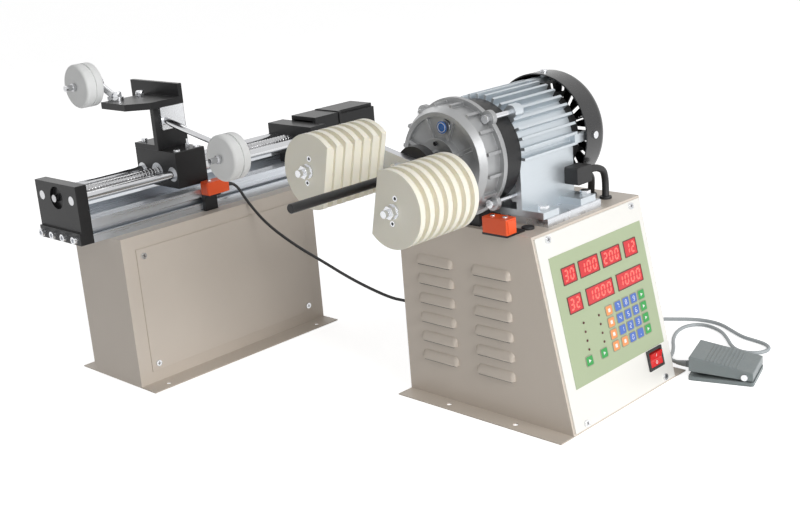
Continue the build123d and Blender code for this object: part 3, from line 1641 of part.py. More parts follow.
with BuildPart() as housing_screws:
    # control panel screws
    with BuildSketch(label_face):
        with Locations(*panel_screw_places):
            Circle(screw_head_radius)
    extrude(amount=screw_head_height)
    with BuildSketch(label_face):
        with Locations(*panel_screw_places):
            Circle(screw_radius)
    extrude(amount=-screw_reach)
    # side panel screws
    panel_outside = stand_front.offset(side_panel_thickness)
    with BuildSketch(panel_outside):
        with Locations(*side_panel_screw_places):
            Circle(screw_head_radius)
    extrude(amount=screw_head_height)
    with BuildSketch(panel_outside):
        with Locations(*side_panel_screw_places):
            Circle(screw_radius)
    extrude(amount=-screw_reach)
    # socket screws across the foot of the near bearing block
    lip_face_x = block_near_x - block_lip
    with BuildSketch(stage_bed.offset(lip_face_x)):
        with Locations((0, block_screw_rise)):
            with GridLocations(stage_screw_spacing, 0, stage_screw_count, 1):
                Circle(stage_screw_head)
    extrude(amount=-stage_screw_head_length)
    with BuildSketch(stage_bed.offset(lip_face_x)):
        with Locations((0, block_screw_rise)):
            with GridLocations(stage_screw_spacing, 0, stage_screw_count, 1):
                Circle(stage_screw_radius)
    extrude(amount=block_lip + block_thickness)
    with BuildSketch(stage_bed.offset(lip_face_x - stage_screw_head_length)):
        with Locations((0, block_screw_rise)):
            with GridLocations(stage_screw_spacing, 0, stage_screw_count, 1):
                RegularPolygon(stage_screw_radius, 6)
    extrude(amount=stage_screw_head_length / 2, mode=Mode.SUBTRACT)
finish(housing_screws, "housing_screws")

with BuildPart() as guide_rods:
    with BuildSketch(stage_bed.offset(block_near_x)):
        with Locations(*rail_places):
            Circle(rail_radius)
    extrude(amount=drive_far_x - block_near_x)
finish(guide_rods, "guide_rods")

journal_tip_x = drive_far_x + mount_length / 2 - cut_over
nut_seat_x = block_near_x + counterbore_depth

with BuildPart() as ball_screw:
    with BuildSketch(stage_bed.offset(profile_near_x + loose_gap)):
        with Locations(screw_place):
            Circle(ball_screw_radius)
    extrude(amount=profile_length - 2 * loose_gap)
    with BuildSketch(stage_bed.offset(nut_seat_x - journal_nut_length - cut_over)):
        with Locations(screw_place):
            Circle(journal_radius)
    extrude(amount=journal_tip_x - nut_seat_x + journal_nut_length + cut_over)
    with BuildSketch(stage_bed.offset(nut_seat_x - loose_gap)):
        with Locations(screw_place):
            Circle(journal_nut_radius)
    extrude(amount=-journal_nut_length)
finish(ball_screw, "ball_screw")

coupling_near_x = drive_far_x + (mount_length - coupling_length) / 2

with BuildPart() as shaft_coupling:
    with BuildSketch(stage_bed.offset(coupling_near_x)):
        with Locations(screw_place):
            Circle(coupling_radius)
    extrude(amount=coupling_length)
    with BuildSketch(stage_bed.offset(coupling_near_x)):
        with Locations(screw_place):
            Circle(journal_radius)
    extrude(amount=journal_tip_x - coupling_near_x, mode=Mode.SUBTRACT)
    with BuildSketch(stage_bed.offset(coupling_near_x + coupling_length)):
        with Locations(screw_place):
            Circle(stepper_shaft_radius + running_gap)
    extrude(amount=-(coupling_length / 2 - cut_over), mode=Mode.SUBTRACT)
finish(shaft_coupling, "shaft_coupling")

with BuildPart() as stepper_motor:
    with BuildSketch(stage_bed.offset(mount_far_x)):
        with Locations(screw_place):
            RectangleRounded(stepper_side, stepper_side, stepper_corner)
    extrude(amount=stepper_flange)
    with BuildSketch(stage_bed.offset(mount_far_x)):
        with Locations(screw_place):
            Rectangle(stepper_side - 2 * stepper_corner, stepper_side)
            Rectangle(stepper_side, stepper_side - 2 * stepper_corner)
    extrude(amount=stepper_length)
    with BuildSketch(stage_bed.offset(mount_far_x)):
        with Locations(screw_place):
            Circle(stepper_shaft_radius)
    extrude(amount=-stepper_shaft_length)
    # connector block on the tail
    with BuildSketch(stage_bed.offset(stepper_far_x)):
        with Locations((0, screw_z - stand_height - stepper_side / 4)):
            Rectangle(connector_width, connector_height)
    extrude(amount=connector_length)
finish(stepper_motor, "stepper_motor")

# ============================================================= carriage and wire guide

carriage_near_x = carriage_x - carriage_length / 2
carriage_far_x = carriage_x + carriage_length / 2
carriage_width = stage_width - 2 * carriage_inset
carriage_low = profile_height + carriage_gap

with BuildPart() as carriage:
    with BuildSketch(stage_bed.offset(carriage_near_x)):
        with Locations((0, carriage_low)):
            Rectangle(
                carriage_width, carriage_top - carriage_gap, align=(Align.CENTER, Align.MIN)
            )
        with Locations(*rail_places):
            Circle(rail_radius + cut_over, mode=Mode.SUBTRACT)
        with Locations(screw_place):
            Circle(ball_nut_radius, mode=Mode.SUBTRACT)
    extrude(amount=carriage_length)
    for face_x, inward in ((carriage_near_x, 1), (carriage_far_x, -1)):
        with BuildSketch(stage_bed.offset(face_x)):
            with Locations(*rail_places):
                Circle(bushing_radius)
        extrude(amount=inward * bushing_length, mode=Mode.SUBTRACT)
    chamfer(carriage.faces().sort_by(Axis.Z)[-1].edges().filter_by(Axis.X), length=cut_over)
finish(carriage, "carriage")

with BuildPart() as carriage_bearings:
    for face_x, inward in ((carriage_near_x, 1), (carriage_far_x, -1)):
        with BuildSketch(stage_bed.offset(face_x)):
            with Locations(*rail_places):
                Circle(bushing_radius)
                Circle(rail_radius + running_gap, mode=Mode.SUBTRACT)
        extrude(amount=inward * bushing_length)
    with BuildSketch(stage_bed.offset(carriage_near_x)):
        with Locations(screw_place):
            Circle(ball_nut_radius)
            Circle(ball_screw_radius + running_gap, mode=Mode.SUBTRACT)
    extrude(amount=carriage_length)
    with BuildSketch(stage_bed.offset(carriage_far_x)):
        with Locations(screw_place):
            Circle(ball_nut_flange)
            Circle(ball_screw_radius + running_gap, mode=Mode.SUBTRACT)
    extrude(amount=ball_nut_flange_length)
finish(carriage_bearings, "carriage_bearings")

post_front = stage_y - post_front_y
post_rear = post_front + post_thickness
post_top_z = carriage_top_z + post_height
leg_near_x = carriage_x + guide_leg_x
tongue_near_x = leg_near_x - guide_tongue
tongue_top_z = post_top_z + guide_tongue_thickness
tongue_front = stage_y - tongue_front_y
tongue_rear = tongue_front + tongue_length_y
acorn_x = leg_near_x - acorn_inset_x
acorn_y = tongue_rear - acorn_inset_y
acorn_places = [(acorn_x, acorn_y), (acorn_x - acorn_spacing, acorn_y)]
screw_pitch_x = post_width - 4 * cap_screw_radius
foot_screw_y = post_rear + post_foot_depth - 3 * cap_screw_radius
front_screw_y = stage_y - carriage_width / 2 + cap_screw_radius + 2 * cut_over
foot_screw_places = [(carriage_x + side * screw_pitch_x / 2, foot_screw_y) for side in (-1, 1)]
front_screw_places = [(carriage_x + side * screw_pitch_x / 2, front_screw_y) for side in (-1, 1)]

with BuildPart() as guide_post:
    with BuildSketch(Plane.XY.offset(carriage_top_z)):
        with Locations((carriage_x, post_front)):
            Rectangle(post_width, post_thickness, align=(Align.CENTER, Align.MIN))
    extrude(amount=post_height)
    with BuildSketch(Plane.XY.offset(carriage_top_z)):
        with Locations((carriage_x, post_front)):
            Rectangle(
                post_width,
                post_thickness + post_foot_depth - carriage_inset,
                align=(Align.CENTER, Align.MIN),
            )
        with Locations(*foot_screw_places):
            Circle(stage_screw_radius, mode=Mode.SUBTRACT)
    extrude(amount=post_foot_thickness)
finish(guide_post, "guide_post")

with BuildPart() as guide_arm:
    # upright leg and flat tongue of one angle, standing on the post
    with BuildSketch(Plane.XY.offset(post_top_z)):
        with Locations((leg_near_x, stage_y - guide_front_y)):
            Rectangle(guide_leg_thickness, guide_length_y, align=(Align.MIN, Align.MIN))
    extrude(amount=guide_leg_height)
    with BuildSketch(Plane.XY.offset(post_top_z)):
        Polygon(
            (leg_near_x + guide_leg_thickness, tongue_front),
            (leg_near_x + guide_leg_thickness, tongue_rear),
            (tongue_near_x, tongue_rear),
            (tongue_near_x, tongue_front + guide_chamfer),
            (tongue_near_x + guide_chamfer, tongue_front),
            align=None,
        )
        with Locations(*acorn_places):
            Circle(stage_screw_radius, mode=Mode.SUBTRACT)
    extrude(amount=guide_tongue_thickness)
finish(guide_arm, "guide_arm")

clamp_middle_z = carriage_top_z + clamp_low + clamp_height / 2
front_rod_x = carriage_x + front_rod_offset_x
front_rod_z = carriage_top_z + clamp_low + front_rod_height


def tilted_rod(start, tilt):
    """A plane at a rod's start: local x is X, its normal runs along the rod."""
    return Plane(
        origin=start,
        x_dir=(1, 0, 0),
        z_dir=(0, cos(radians(tilt)), sin(radians(tilt))),
    )


eye_place = acorn_places[-1]
rear_rod_start = (
    eye_place[0],
    eye_place[1] + eye_radius + cut_over,
    tongue_top_z + guide_rod_radius + cut_over / 2,
)
front_rod_start = (front_rod_x, post_front - clamp_thickness, front_rod_z)
rear_rod = tilted_rod(rear_rod_start, rear_rod_tilt)
front_rod = tilted_rod(front_rod_start, 180 - front_rod_tilt)
rear_roller_rod_end = rear_rod.from_local_coords((0, 0, rear_rod_length))
front_roller_rod_end = front_rod.from_local_coords((0, 0, front_rod_length))
roller_far_face = boss_eye_length / 2 + roller_gap
axle_length = roller_far_face + roller_width + roller_gap + axle_nut_length + axle_tip

with BuildPart() as roller_shafts:
    with BuildSketch(rear_rod):
        Circle(guide_rod_radius)
    extrude(amount=rear_rod_length)
    # the rear rod's flat eye, under an acorn nut
    with BuildSketch(Plane.XY.offset(tongue_top_z)):
        with Locations(eye_place):
            Circle(eye_radius)
            Rectangle(
                2 * (guide_rod_radius + cut_over),
                2 * eye_radius,
                align=(Align.CENTER, Align.MIN),
            )
            Circle(stage_screw_radius, mode=Mode.SUBTRACT)
    extrude(amount=eye_height)
    # the front rod starts at the clamp plate's face
    with BuildSketch(front_rod.offset(-guide_rod_radius)):
        Circle(guide_rod_radius)
    extrude(amount=front_rod_length + guide_rod_radius)
    with BuildSketch(Plane.XZ.offset(clamp_thickness - post_front)):
        with Locations((front_rod_x, front_rod_z)):
            Circle(2 * guide_rod_radius)
    extrude(amount=-2 * guide_rod_radius, mode=Mode.SUBTRACT)
    for end in (rear_roller_rod_end, front_roller_rod_end):
        # a round boss on the rod's end and the axle through it
        with BuildSketch(across(end.X, end.Y, end.Z)):
            Circle(boss_eye_radius)
        extrude(amount=boss_eye_length / 2, both=True)
        with BuildSketch(across(end.X, end.Y, end.Z)):
            Circle(axle_radius)
        extrude(amount=-axle_length)
        with BuildSketch(across(end.X - roller_far_face - roller_width - roller_gap, end.Y, end.Z)):
            RegularPolygon(axle_nut_radius, 6)
        extrude(amount=-axle_nut_length)
finish(roller_shafts, "roller_shafts")

for place, end in (("rear", rear_roller_rod_end), ("front", front_roller_rod_end)):
    with BuildPart() as guide_roller:
        with BuildSketch(across(end.X - roller_far_face, end.Y, end.Z)):
            Circle(roller_radius)
        extrude(amount=-roller_width)
        fillet(guide_roller.edges().filter_by(GeomType.CIRCLE), radius=roller_round)
        with BuildSketch(
            across(end.X - roller_far_face - (roller_width - roller_groove_width) / 2, end.Y, end.Z)
        ):
            Circle(roller_radius)
            Circle(roller_groove_radius, mode=Mode.SUBTRACT)
        extrude(amount=-roller_groove_width, mode=Mode.SUBTRACT)
        with BuildSketch(across(end.X - roller_far_face, end.Y, end.Z)):
            Circle(roller_bore)
        extrude(amount=-roller_width, mode=Mode.SUBTRACT)
    finish(guide_roller, f"{place}_guide_roller")

with BuildPart() as arm_fasteners:
    # clamp plate of the front rod, on the post's front
    with BuildSketch(Plane.XZ.offset(-post_front)):
        with Locations((carriage_x + clamp_offset_x, clamp_middle_z)):
            RectangleRounded(clamp_width, clamp_height, cut_over)
    extrude(amount=clamp_thickness)
    # acorn nuts on studs through the tongue
    for (place_x, place_y), seat_z in zip(acorn_places, (tongue_top_z, tongue_top_z + eye_height)):
        with BuildSketch(Plane.XY.offset(seat_z)):
            with Locations((place_x, place_y)):
                RegularPolygon(acorn_radius, 6)
        extrude(amount=acorn_height / 2)
        with BuildSketch(Plane.XY.offset(seat_z)):
            with Locations((place_x, place_y)):
                Circle(acorn_radius * cos(pi / 6))
        extrude(amount=acorn_height)
        fillet(arm_fasteners.faces().sort_by(Axis.Z)[-1].edges(), radius=acorn_height / 3)
        with BuildSketch(Plane.XY.offset(post_top_z)):
            with Locations((place_x, place_y)):
                Circle(stage_screw_radius)
        extrude(amount=seat_z - post_top_z)
    # cap screws of the post's foot
    with BuildSketch(Plane.XY.offset(carriage_top_z + post_foot_thickness)):
        with Locations(*foot_screw_places):
            Circle(cap_screw_radius)
    extrude(amount=cap_screw_height)
    with BuildSketch(Plane.XY.offset(carriage_top_z)):
        with Locations(*foot_screw_places):
            Circle(stage_screw_radius)
    extrude(amount=post_foot_thickness)
    # low heads along the carriage's front edge and a grease nipple
    with BuildSketch(Plane.XY.offset(carriage_top_z)):
        with Locations(*front_screw_places):
            Circle(cap_screw_radius)
    extrude(amount=cap_screw_height / 2)
    with BuildSketch(Plane.XY.offset(carriage_top_z)):
        with Locations((carriage_x + guide_leg_x, front_screw_y + nipple_setback)):
            RegularPolygon(nipple_radius, 6)
    extrude(amount=nipple_height / 2)
    with BuildSketch(Plane.XY.offset(carriage_top_z)):
        with Locations((carriage_x + guide_leg_x, front_screw_y + nipple_setback)):
            Circle(nipple_radius / 2)
    extrude(amount=nipple_height)
finish(arm_fasteners, "arm_fasteners")

# ======================================================================== foot switch

toe_x = sin(radians(pedal_turn))
toe_y = -cos(radians(pedal_turn))
# on the side plane local x runs to the toe and local y is up; its normal is across
pedal_side = Plane(
    origin=(pedal_x, pedal_y, 0), x_dir=(toe_x, toe_y, 0), z_dir=(toe_y, -toe_x, 0)
)
pedal_floor = Plane(
    origin=(pedal_x, pedal_y, 0), x_dir=(toe_x, toe_y, 0), z_dir=(0, 0, 1)
)
heel_u = -pedal_length / 2
pin_u = pedal_length / 2 - pin_inset
treadle_half = pedal_width / 2 - treadle_inset
block_half = treadle_half - treadle_wall - treadle_side_gap
treadle_slope = (pedal_heel_height - pedal_toe_height) / (pedal_length - 2 * treadle_inset)
spring_top = (
    pedal_heel_height - treadle_slope * (spring_u - heel_u - treadle_inset) - treadle_wall
)
gland_plane = Plane(
    origin=(pedal_x + heel_u * toe_x, pedal_y + heel_u * toe_y, gland_height),
    x_dir=(0, 0, 1),
    z_dir=(-toe_x, -toe_y, 0),
)

with BuildPart() as pedal_base:
    with BuildSketch(pedal_floor):
        RectangleRounded(pedal_length, pedal_width, roller_round)
    extrude(amount=tray_height)
    # the switch's block on the tray
    with BuildSketch(pedal_floor.offset(tray_height - cut_over)):
        with Locations((switch_u, 0)):
            Rectangle(switch_length_u, switch_width_v)
    extrude(amount=switch_height_z - tray_height + cut_over)
    with BuildSketch(pedal_floor.offset(tray_height - cut_over)):
        with Locations((pin_u, 0)):
            Rectangle(pin_block_length, 2 * block_half)
    extrude(amount=pin_block_height - tray_height + cut_over)
    with BuildSketch(pedal_side):
        with Locations((pin_u, pin_height)):
            Circle(pin_radius)
    extrude(amount=pedal_width, both=True, mode=Mode.SUBTRACT)
    # cable gland at the heel, with the channel that joins it to the switch block
    with BuildSketch(gland_plane):
        Circle(gland_radius)
    extrude(amount=gland_length)
    with BuildSketch(gland_plane):
        Circle(gland_radius)
    extrude(amount=heel_u - switch_u + switch_length_u / 2)
finish(pedal_base, "pedal_base")

with BuildPart() as pedal_treadle:
    with BuildSketch(pedal_side):
        Polygon(
            (heel_u + treadle_inset, treadle_heel_lip),
            (heel_u + treadle_inset, pedal_heel_height),
            (-heel_u - treadle_inset, pedal_toe_height),
            (-heel_u - treadle_inset, treadle_toe_lip),
            align=None,
        )
    extrude(amount=treadle_half, both=True)
    top_edges = pedal_treadle.faces().sort_by(Axis.Z)[-1].edges()
    fillet(top_edges, radius=tread_round)
    with BuildSketch(pedal_side):
        Polygon(
            (heel_u + treadle_inset + treadle_wall, 0),
            (heel_u + treadle_inset + treadle_wall, pedal_heel_height - treadle_wall),
            (-heel_u - treadle_inset - treadle_wall, pedal_toe_height - treadle_wall),
            (-heel_u - treadle_inset - treadle_wall, 0),
            align=None,
        )
    extrude(amount=treadle_half - treadle_wall, both=True, mode=Mode.SUBTRACT)
    with BuildSketch(pedal_side):
        with Locations((pin_u, pin_height)):
            Circle(pin_radius + running_gap)
    extrude(amount=pedal_width, both=True, mode=Mode.SUBTRACT)
    # notch over the gland
    with BuildSketch(gland_plane.offset(-2 * treadle_wall)):
        with Locations((-gland_height, 0)):
            Rectangle(notch_height, notch_width, align=(Align.MIN, Align.CENTER))
    extrude(amount=3 * treadle_wall, mode=Mode.SUBTRACT)
    # grip ribs across the tread
    with BuildSketch(pedal_side):
        for rib in range(tread_rib_count):
            rib_u = (rib - (tread_rib_count - 1) / 2) * tread_rib_pitch
            rib_top = pedal_heel_height - treadle_slope * (rib_u - heel_u - treadle_inset)
            with Locations((rib_u, rib_top)):
                Circle(tread_rib_height)
    extrude(amount=treadle_half - 2 * tread_round, both=True)
finish(pedal_treadle, "pedal_treadle")

with BuildPart() as pedal_pin:
    with BuildSketch(pedal_side):
        with Locations((pin_u, pin_height)):
            Circle(pin_radius)
    extrude(amount=treadle_half + loose_gap, both=True)
    for side in (-1, 1):
        with BuildSketch(pedal_side.offset(side * (treadle_half + loose_gap))):
            with Locations((pin_u, pin_height)):
                Circle(pin_head_radius)
        extrude(amount=side * pin_head_length)
finish(pedal_pin, "pedal_pin")

with BuildPart() as pedal_spring:
    with BuildSketch(pedal_floor.offset(tray_height)):
        with Locations((spring_u, spring_v)):
            Circle(spring_radius)
            Circle(spring_radius - spring_wall, mode=Mode.SUBTRACT)
    extrude(amount=spring_top - tray_height - spring_inset)
finish(pedal_spring, "pedal_spring")

# ========================================================================= free leads

with BuildPart() as lead_plugs:
    for socket_x, socket_z in (
        (sensor_socket_x, sensor_socket_z),
        (pedal_socket_x, pedal_socket_z),
    ):
        with BuildSketch(rear_plane.offset(-socket_nose)):
            with Locations((socket_x, socket_z)):
                Circle(plug_radius)
        extrude(amount=-lead_plug_length)
    fillet(lead_plugs.faces().sort_by(Axis.Y)[-2:].edges(), radius=cut_over)
finish(lead_plugs, "lead_plugs")

sensor_lead = lead_part(sensor_lead_route, sensor_lead_radius)
finish(sensor_lead, "sensor_lead")

pedal_lead = lead_part(pedal_lead_route, pedal_lead_radius)
finish(pedal_lead, "pedal_lead")
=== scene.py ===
"""Looks of the wire coil winding machine: finishes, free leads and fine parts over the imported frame."""

import logging
import math
from dataclasses import dataclass
from enum import Enum
from typing import ClassVar

import bmesh
import bpy
from mathutils import Matrix, Vector


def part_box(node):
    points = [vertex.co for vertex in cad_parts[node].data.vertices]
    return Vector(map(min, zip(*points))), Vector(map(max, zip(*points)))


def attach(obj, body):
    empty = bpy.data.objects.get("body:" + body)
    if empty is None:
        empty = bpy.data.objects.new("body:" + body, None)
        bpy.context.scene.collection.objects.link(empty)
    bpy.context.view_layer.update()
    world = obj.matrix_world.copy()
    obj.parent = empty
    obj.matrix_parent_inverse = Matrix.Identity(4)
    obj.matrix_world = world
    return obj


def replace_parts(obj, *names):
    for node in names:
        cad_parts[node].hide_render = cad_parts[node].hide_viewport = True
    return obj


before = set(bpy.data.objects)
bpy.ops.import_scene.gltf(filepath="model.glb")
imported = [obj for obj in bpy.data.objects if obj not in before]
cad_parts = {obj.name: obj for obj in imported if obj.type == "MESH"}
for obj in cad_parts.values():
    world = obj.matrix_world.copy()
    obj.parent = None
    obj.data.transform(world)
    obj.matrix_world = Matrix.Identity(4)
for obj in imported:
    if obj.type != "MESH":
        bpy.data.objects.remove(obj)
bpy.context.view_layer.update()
LOG = logging.getLogger("winding_machine")

Colour = tuple[float, float, float]
Point = tuple[float, float, float]
Pair = tuple[float, float]
Outline = list[Pair]
Mesh = bmesh.types.BMesh
Socket = bpy.types.NodeSocket
Sockets = dict[str, tuple[str, object]]
Places = list[tuple[Point, Point]]
Values = dict[str, object]
Piece = bpy.types.Object
MM = 0.001
FROM_MM = Matrix.Scale(MM, 4)


# ---------------------------------------------------------------- node trees


class Tree:
    """A thin hand on a node tree, for shaders, shader groups and Geometry Nodes."""

    def __init__(self, tree: bpy.types.NodeTree) -> None:
        """Take hold of a tree.

        Args:
            tree: the tree that the nodes go into.
        """
        self.tree = tree

    @classmethod
    def of(cls, owner: bpy.types.Material | bpy.types.World) -> "Tree":
        """Take hold of the emptied tree of a material or a world.

        Args:
            owner: the material or world.

        Returns:
            Its tree.
        """
        owner.use_nodes = True
        owner.node_tree.nodes.clear()
        return cls(owner.node_tree)

    @classmethod
    def group(cls, name: str, kind: str, inputs: Sockets, outputs: Sockets) -> "Tree":
        """Start a node group with named inputs and outputs.

        Args:
            name: the group's name.
            kind: the tree's Blender type.
            inputs: type and default value of each input.
            outputs: type and default value of each output.

        Returns:
            The group's tree.
        """
        made = cls(bpy.data.node_groups.new(name, kind))
        for way, sockets in (("INPUT", inputs), ("OUTPUT", outputs)):
            for title, (sort, value) in sockets.items():
                kind_of_socket = "NodeSocket" + sort
                socket = made.tree.interface.new_socket(name=title, in_out=way, socket_type=kind_of_socket)
                if value is not None:
                    socket.default_value = value
        made.entry = made.add("NodeGroupInput")
        return made

    def add(self, kind: str, inputs: dict | None = None, **settings: object) -> bpy.types.Node:
        """Add one node and feed its inputs.

        Args:
            kind: the node's Blender type.
            inputs: a socket or plain value for each input, by its name or number.
            settings: attributes of the node to set.

        Returns:
            The new node.
        """
        node = self.tree.nodes.new(kind)
        for name, value in settings.items():
            setattr(node, name, value)
        for target, source in (inputs or {}).items():
            if isinstance(source, Socket):
                self.tree.links.new(source, node.inputs[target])
            else:
                node.inputs[target].default_value = source
        return node

    def given(self, name: str) -> Socket:
        """One input of the group.

        Args:
            name: the input's name.

        Returns:
            Its socket inside the group.
        """
        return self.entry.outputs[name]

    def give(self, **results: Socket) -> bpy.types.NodeTree:
        """Feed the group's outputs, which ends the group.

        Args:
            results: the socket for each output.

        Returns:
            The finished group.
        """
        self.add("NodeGroupOutput", results)
        return self.tree

    def math(self, operation: str, first: object, second: object, clamp: bool = False) -> Socket:
        """Add a Math node.

        Args:
            operation: the node's operation.
            first: the first socket or number.
            second: the second socket or number.
            clamp: whether the result stays between 0 and 1.

        Returns:
            The result's socket.
        """
        inputs = {0: first, 1: second}
        return self.add("ShaderNodeMath", inputs, operation=operation, use_clamp=clamp).outputs[0]

    def mix(self, mask: object, under: object, over: object, colour: bool = False) -> Socket:
        """Mix two numbers or two colours.

        Args:
            mask: how much of the second shows.
            under: the first.
            over: the second.
            colour: whether they are colours.

        Returns:
            The result's socket.
        """
        kind, first, second, result = ("RGBA", 6, 7, 2) if colour else ("FLOAT", 2, 3, 0)
        inputs = {0: mask, first: under, second: over}
        return self.add("ShaderNodeMix", inputs, data_type=kind).outputs[result]

    def spread(self, value: object, low: float, high: float, start: float = 0.0, end: float = 1.0) -> Socket:
        """Map a value from one range to another.

        Args:
            value: the socket to map.
            low: the result at the start of the range.
            high: the result at its end.
            start: where the range starts.
            end: where it ends.

        Returns:
            The mapped value's socket.
        """
        return self.add("ShaderNodeMapRange", {0: value, 1: start, 2: end, 3: low, 4: high}).outputs[0]

    def place(self) -> Socket:
        """The place on the object, in its own space."""
        return self.add("ShaderNodeTexCoord").outputs["Object"]

    def noise(self, scale: object, detail: object, place: Socket | None = None) -> Socket:
        """Add a noise over the object.

        Args:
            scale: the noise's scale.
            detail: its detail.
            place: where it is read, the place on the object if not given.

        Returns:
            The noise's socket.
        """
        inputs = {"Vector": self.place() if place is None else place, "Scale": scale, "Detail": detail}
        return self.add("ShaderNodeTexNoise", inputs).outputs["Fac"]


class SharedEffects:
    """The shader node groups that the finishes share, each built once."""

    def __init__(self) -> None:
        """Build the four groups."""
        self.edges = self._edge_wear()
        self.grain = self._grain()
        self.drift = self._colour_drift()
        self.dust = self._settled_dust()

    def _edge_wear(self) -> bpy.types.NodeTree:
        """Worn, slightly rounded edges: a mask along them and the rounded normal."""
        tree = Tree.group(
            "edge_wear", "ShaderNodeTree",
            {"Radius": ("Float", 0.0006), "Amount": ("Float", 0.4), "Patch Scale": ("Float", 90.0)},
            {"Mask": ("Float", None), "Normal": ("Vector", None)},
        )
        rounded = tree.add("ShaderNodeBevel", {"Radius": tree.given("Radius")}, samples=4).outputs[0]
        flat = tree.add("ShaderNodeNewGeometry").outputs["Normal"]
        turned = tree.add("ShaderNodeVectorMath", {0: rounded, 1: flat}, operation="DOT_PRODUCT")
        edge = tree.spread(tree.math("SUBTRACT", 1.0, turned.outputs["Value"]), 0.0, 1.0, 0.02, 0.22)
        broken = tree.spread(tree.noise(tree.given("Patch Scale"), 5.0), 0.0, 1.0, 0.42, 0.62)
        worn = tree.math("MULTIPLY", edge, broken)
        return tree.give(Mask=tree.math("MULTIPLY", worn, tree.given("Amount"), clamp=True), Normal=rounded)

    def _grain(self) -> bpy.types.NodeTree:
        """Fine grain, stretched along a direction where the finish is brushed or turned."""
        tree = Tree.group(
            "grain", "ShaderNodeTree",
            {"Scale": ("Float", 400.0), "Stretch": ("Vector", (1.0, 1.0, 1.0)), "Detail": ("Float", 4.0)},
            {"Value": ("Float", None)},
        )
        factors = {0: tree.place(), 1: tree.given("Stretch")}
        where = tree.add("ShaderNodeVectorMath", factors, operation="MULTIPLY")
        return tree.give(Value=tree.noise(tree.given("Scale"), tree.given("Detail"), where.outputs[0]))

    def _colour_drift(self) -> bpy.types.NodeTree:
        """A colour that wanders a little, darker and lighter, over the surface."""
        tree = Tree.group(
            "colour_drift", "ShaderNodeTree",
            {"Colour": ("Color", (0.5, 0.5, 0.5, 1.0)), "Drift": ("Float", 0.08), "Scale": ("Float", 14.0)},
            {"Colour": ("Color", None)},
        )
        centred = tree.math("SUBTRACT", tree.noise(tree.given("Scale"), 6.0), 0.5)
        swing = tree.math("MULTIPLY", centred, tree.given("Drift"))
        factor = tree.math("ADD", 1.0, tree.math("MULTIPLY", swing, 2.0))
        tint = tree.add("ShaderNodeVectorMath", operation="SCALE")
        tree.tree.links.new(tree.given("Colour"), tint.inputs[0])
        tree.tree.links.new(factor, tint.inputs["Scale"])
        return tree.give(Colour=tint.outputs[0])

    def _settled_dust(self) -> bpy.types.NodeTree:
        """Dust and handling haze on what faces up, in broken patches."""
        tree = Tree.group(
            "settled_dust", "ShaderNodeTree",
            {"Amount": ("Float", 0.15), "Patch Scale": ("Float", 30.0)}, {"Mask": ("Float", None)},
        )
        normal = tree.add("ShaderNodeNewGeometry").outputs["Normal"]
        facing = tree.add("ShaderNodeSeparateXYZ", {0: normal}).outputs["Z"]
        upward = tree.spread(facing, 0.12, 1.0, 0.2, 0.95)
        patches = tree.spread(tree.noise(tree.given("Patch Scale"), 8.0), 0.0, 1.0, 0.35, 0.75)
        lain = tree.math("MULTIPLY", upward, patches)
        return tree.give(Mask=tree.math("MULTIPLY", lain, tree.given("Amount"), clamp=True))


EFFECTS = SharedEffects()


# ------------------------------------------------------------------ finishes


class Relief(Enum):
    """How a finish stands up from the smooth surface."""

    GRAIN = "fine moulded or machined grain"
    PEEL = "the slight orange peel of baked paint"
    HAMMER = "the rounded cells of hammer paint"
    CAST = "the sandy skin of a die casting"
    SPANGLE = "the flat crystals of zinc plating"


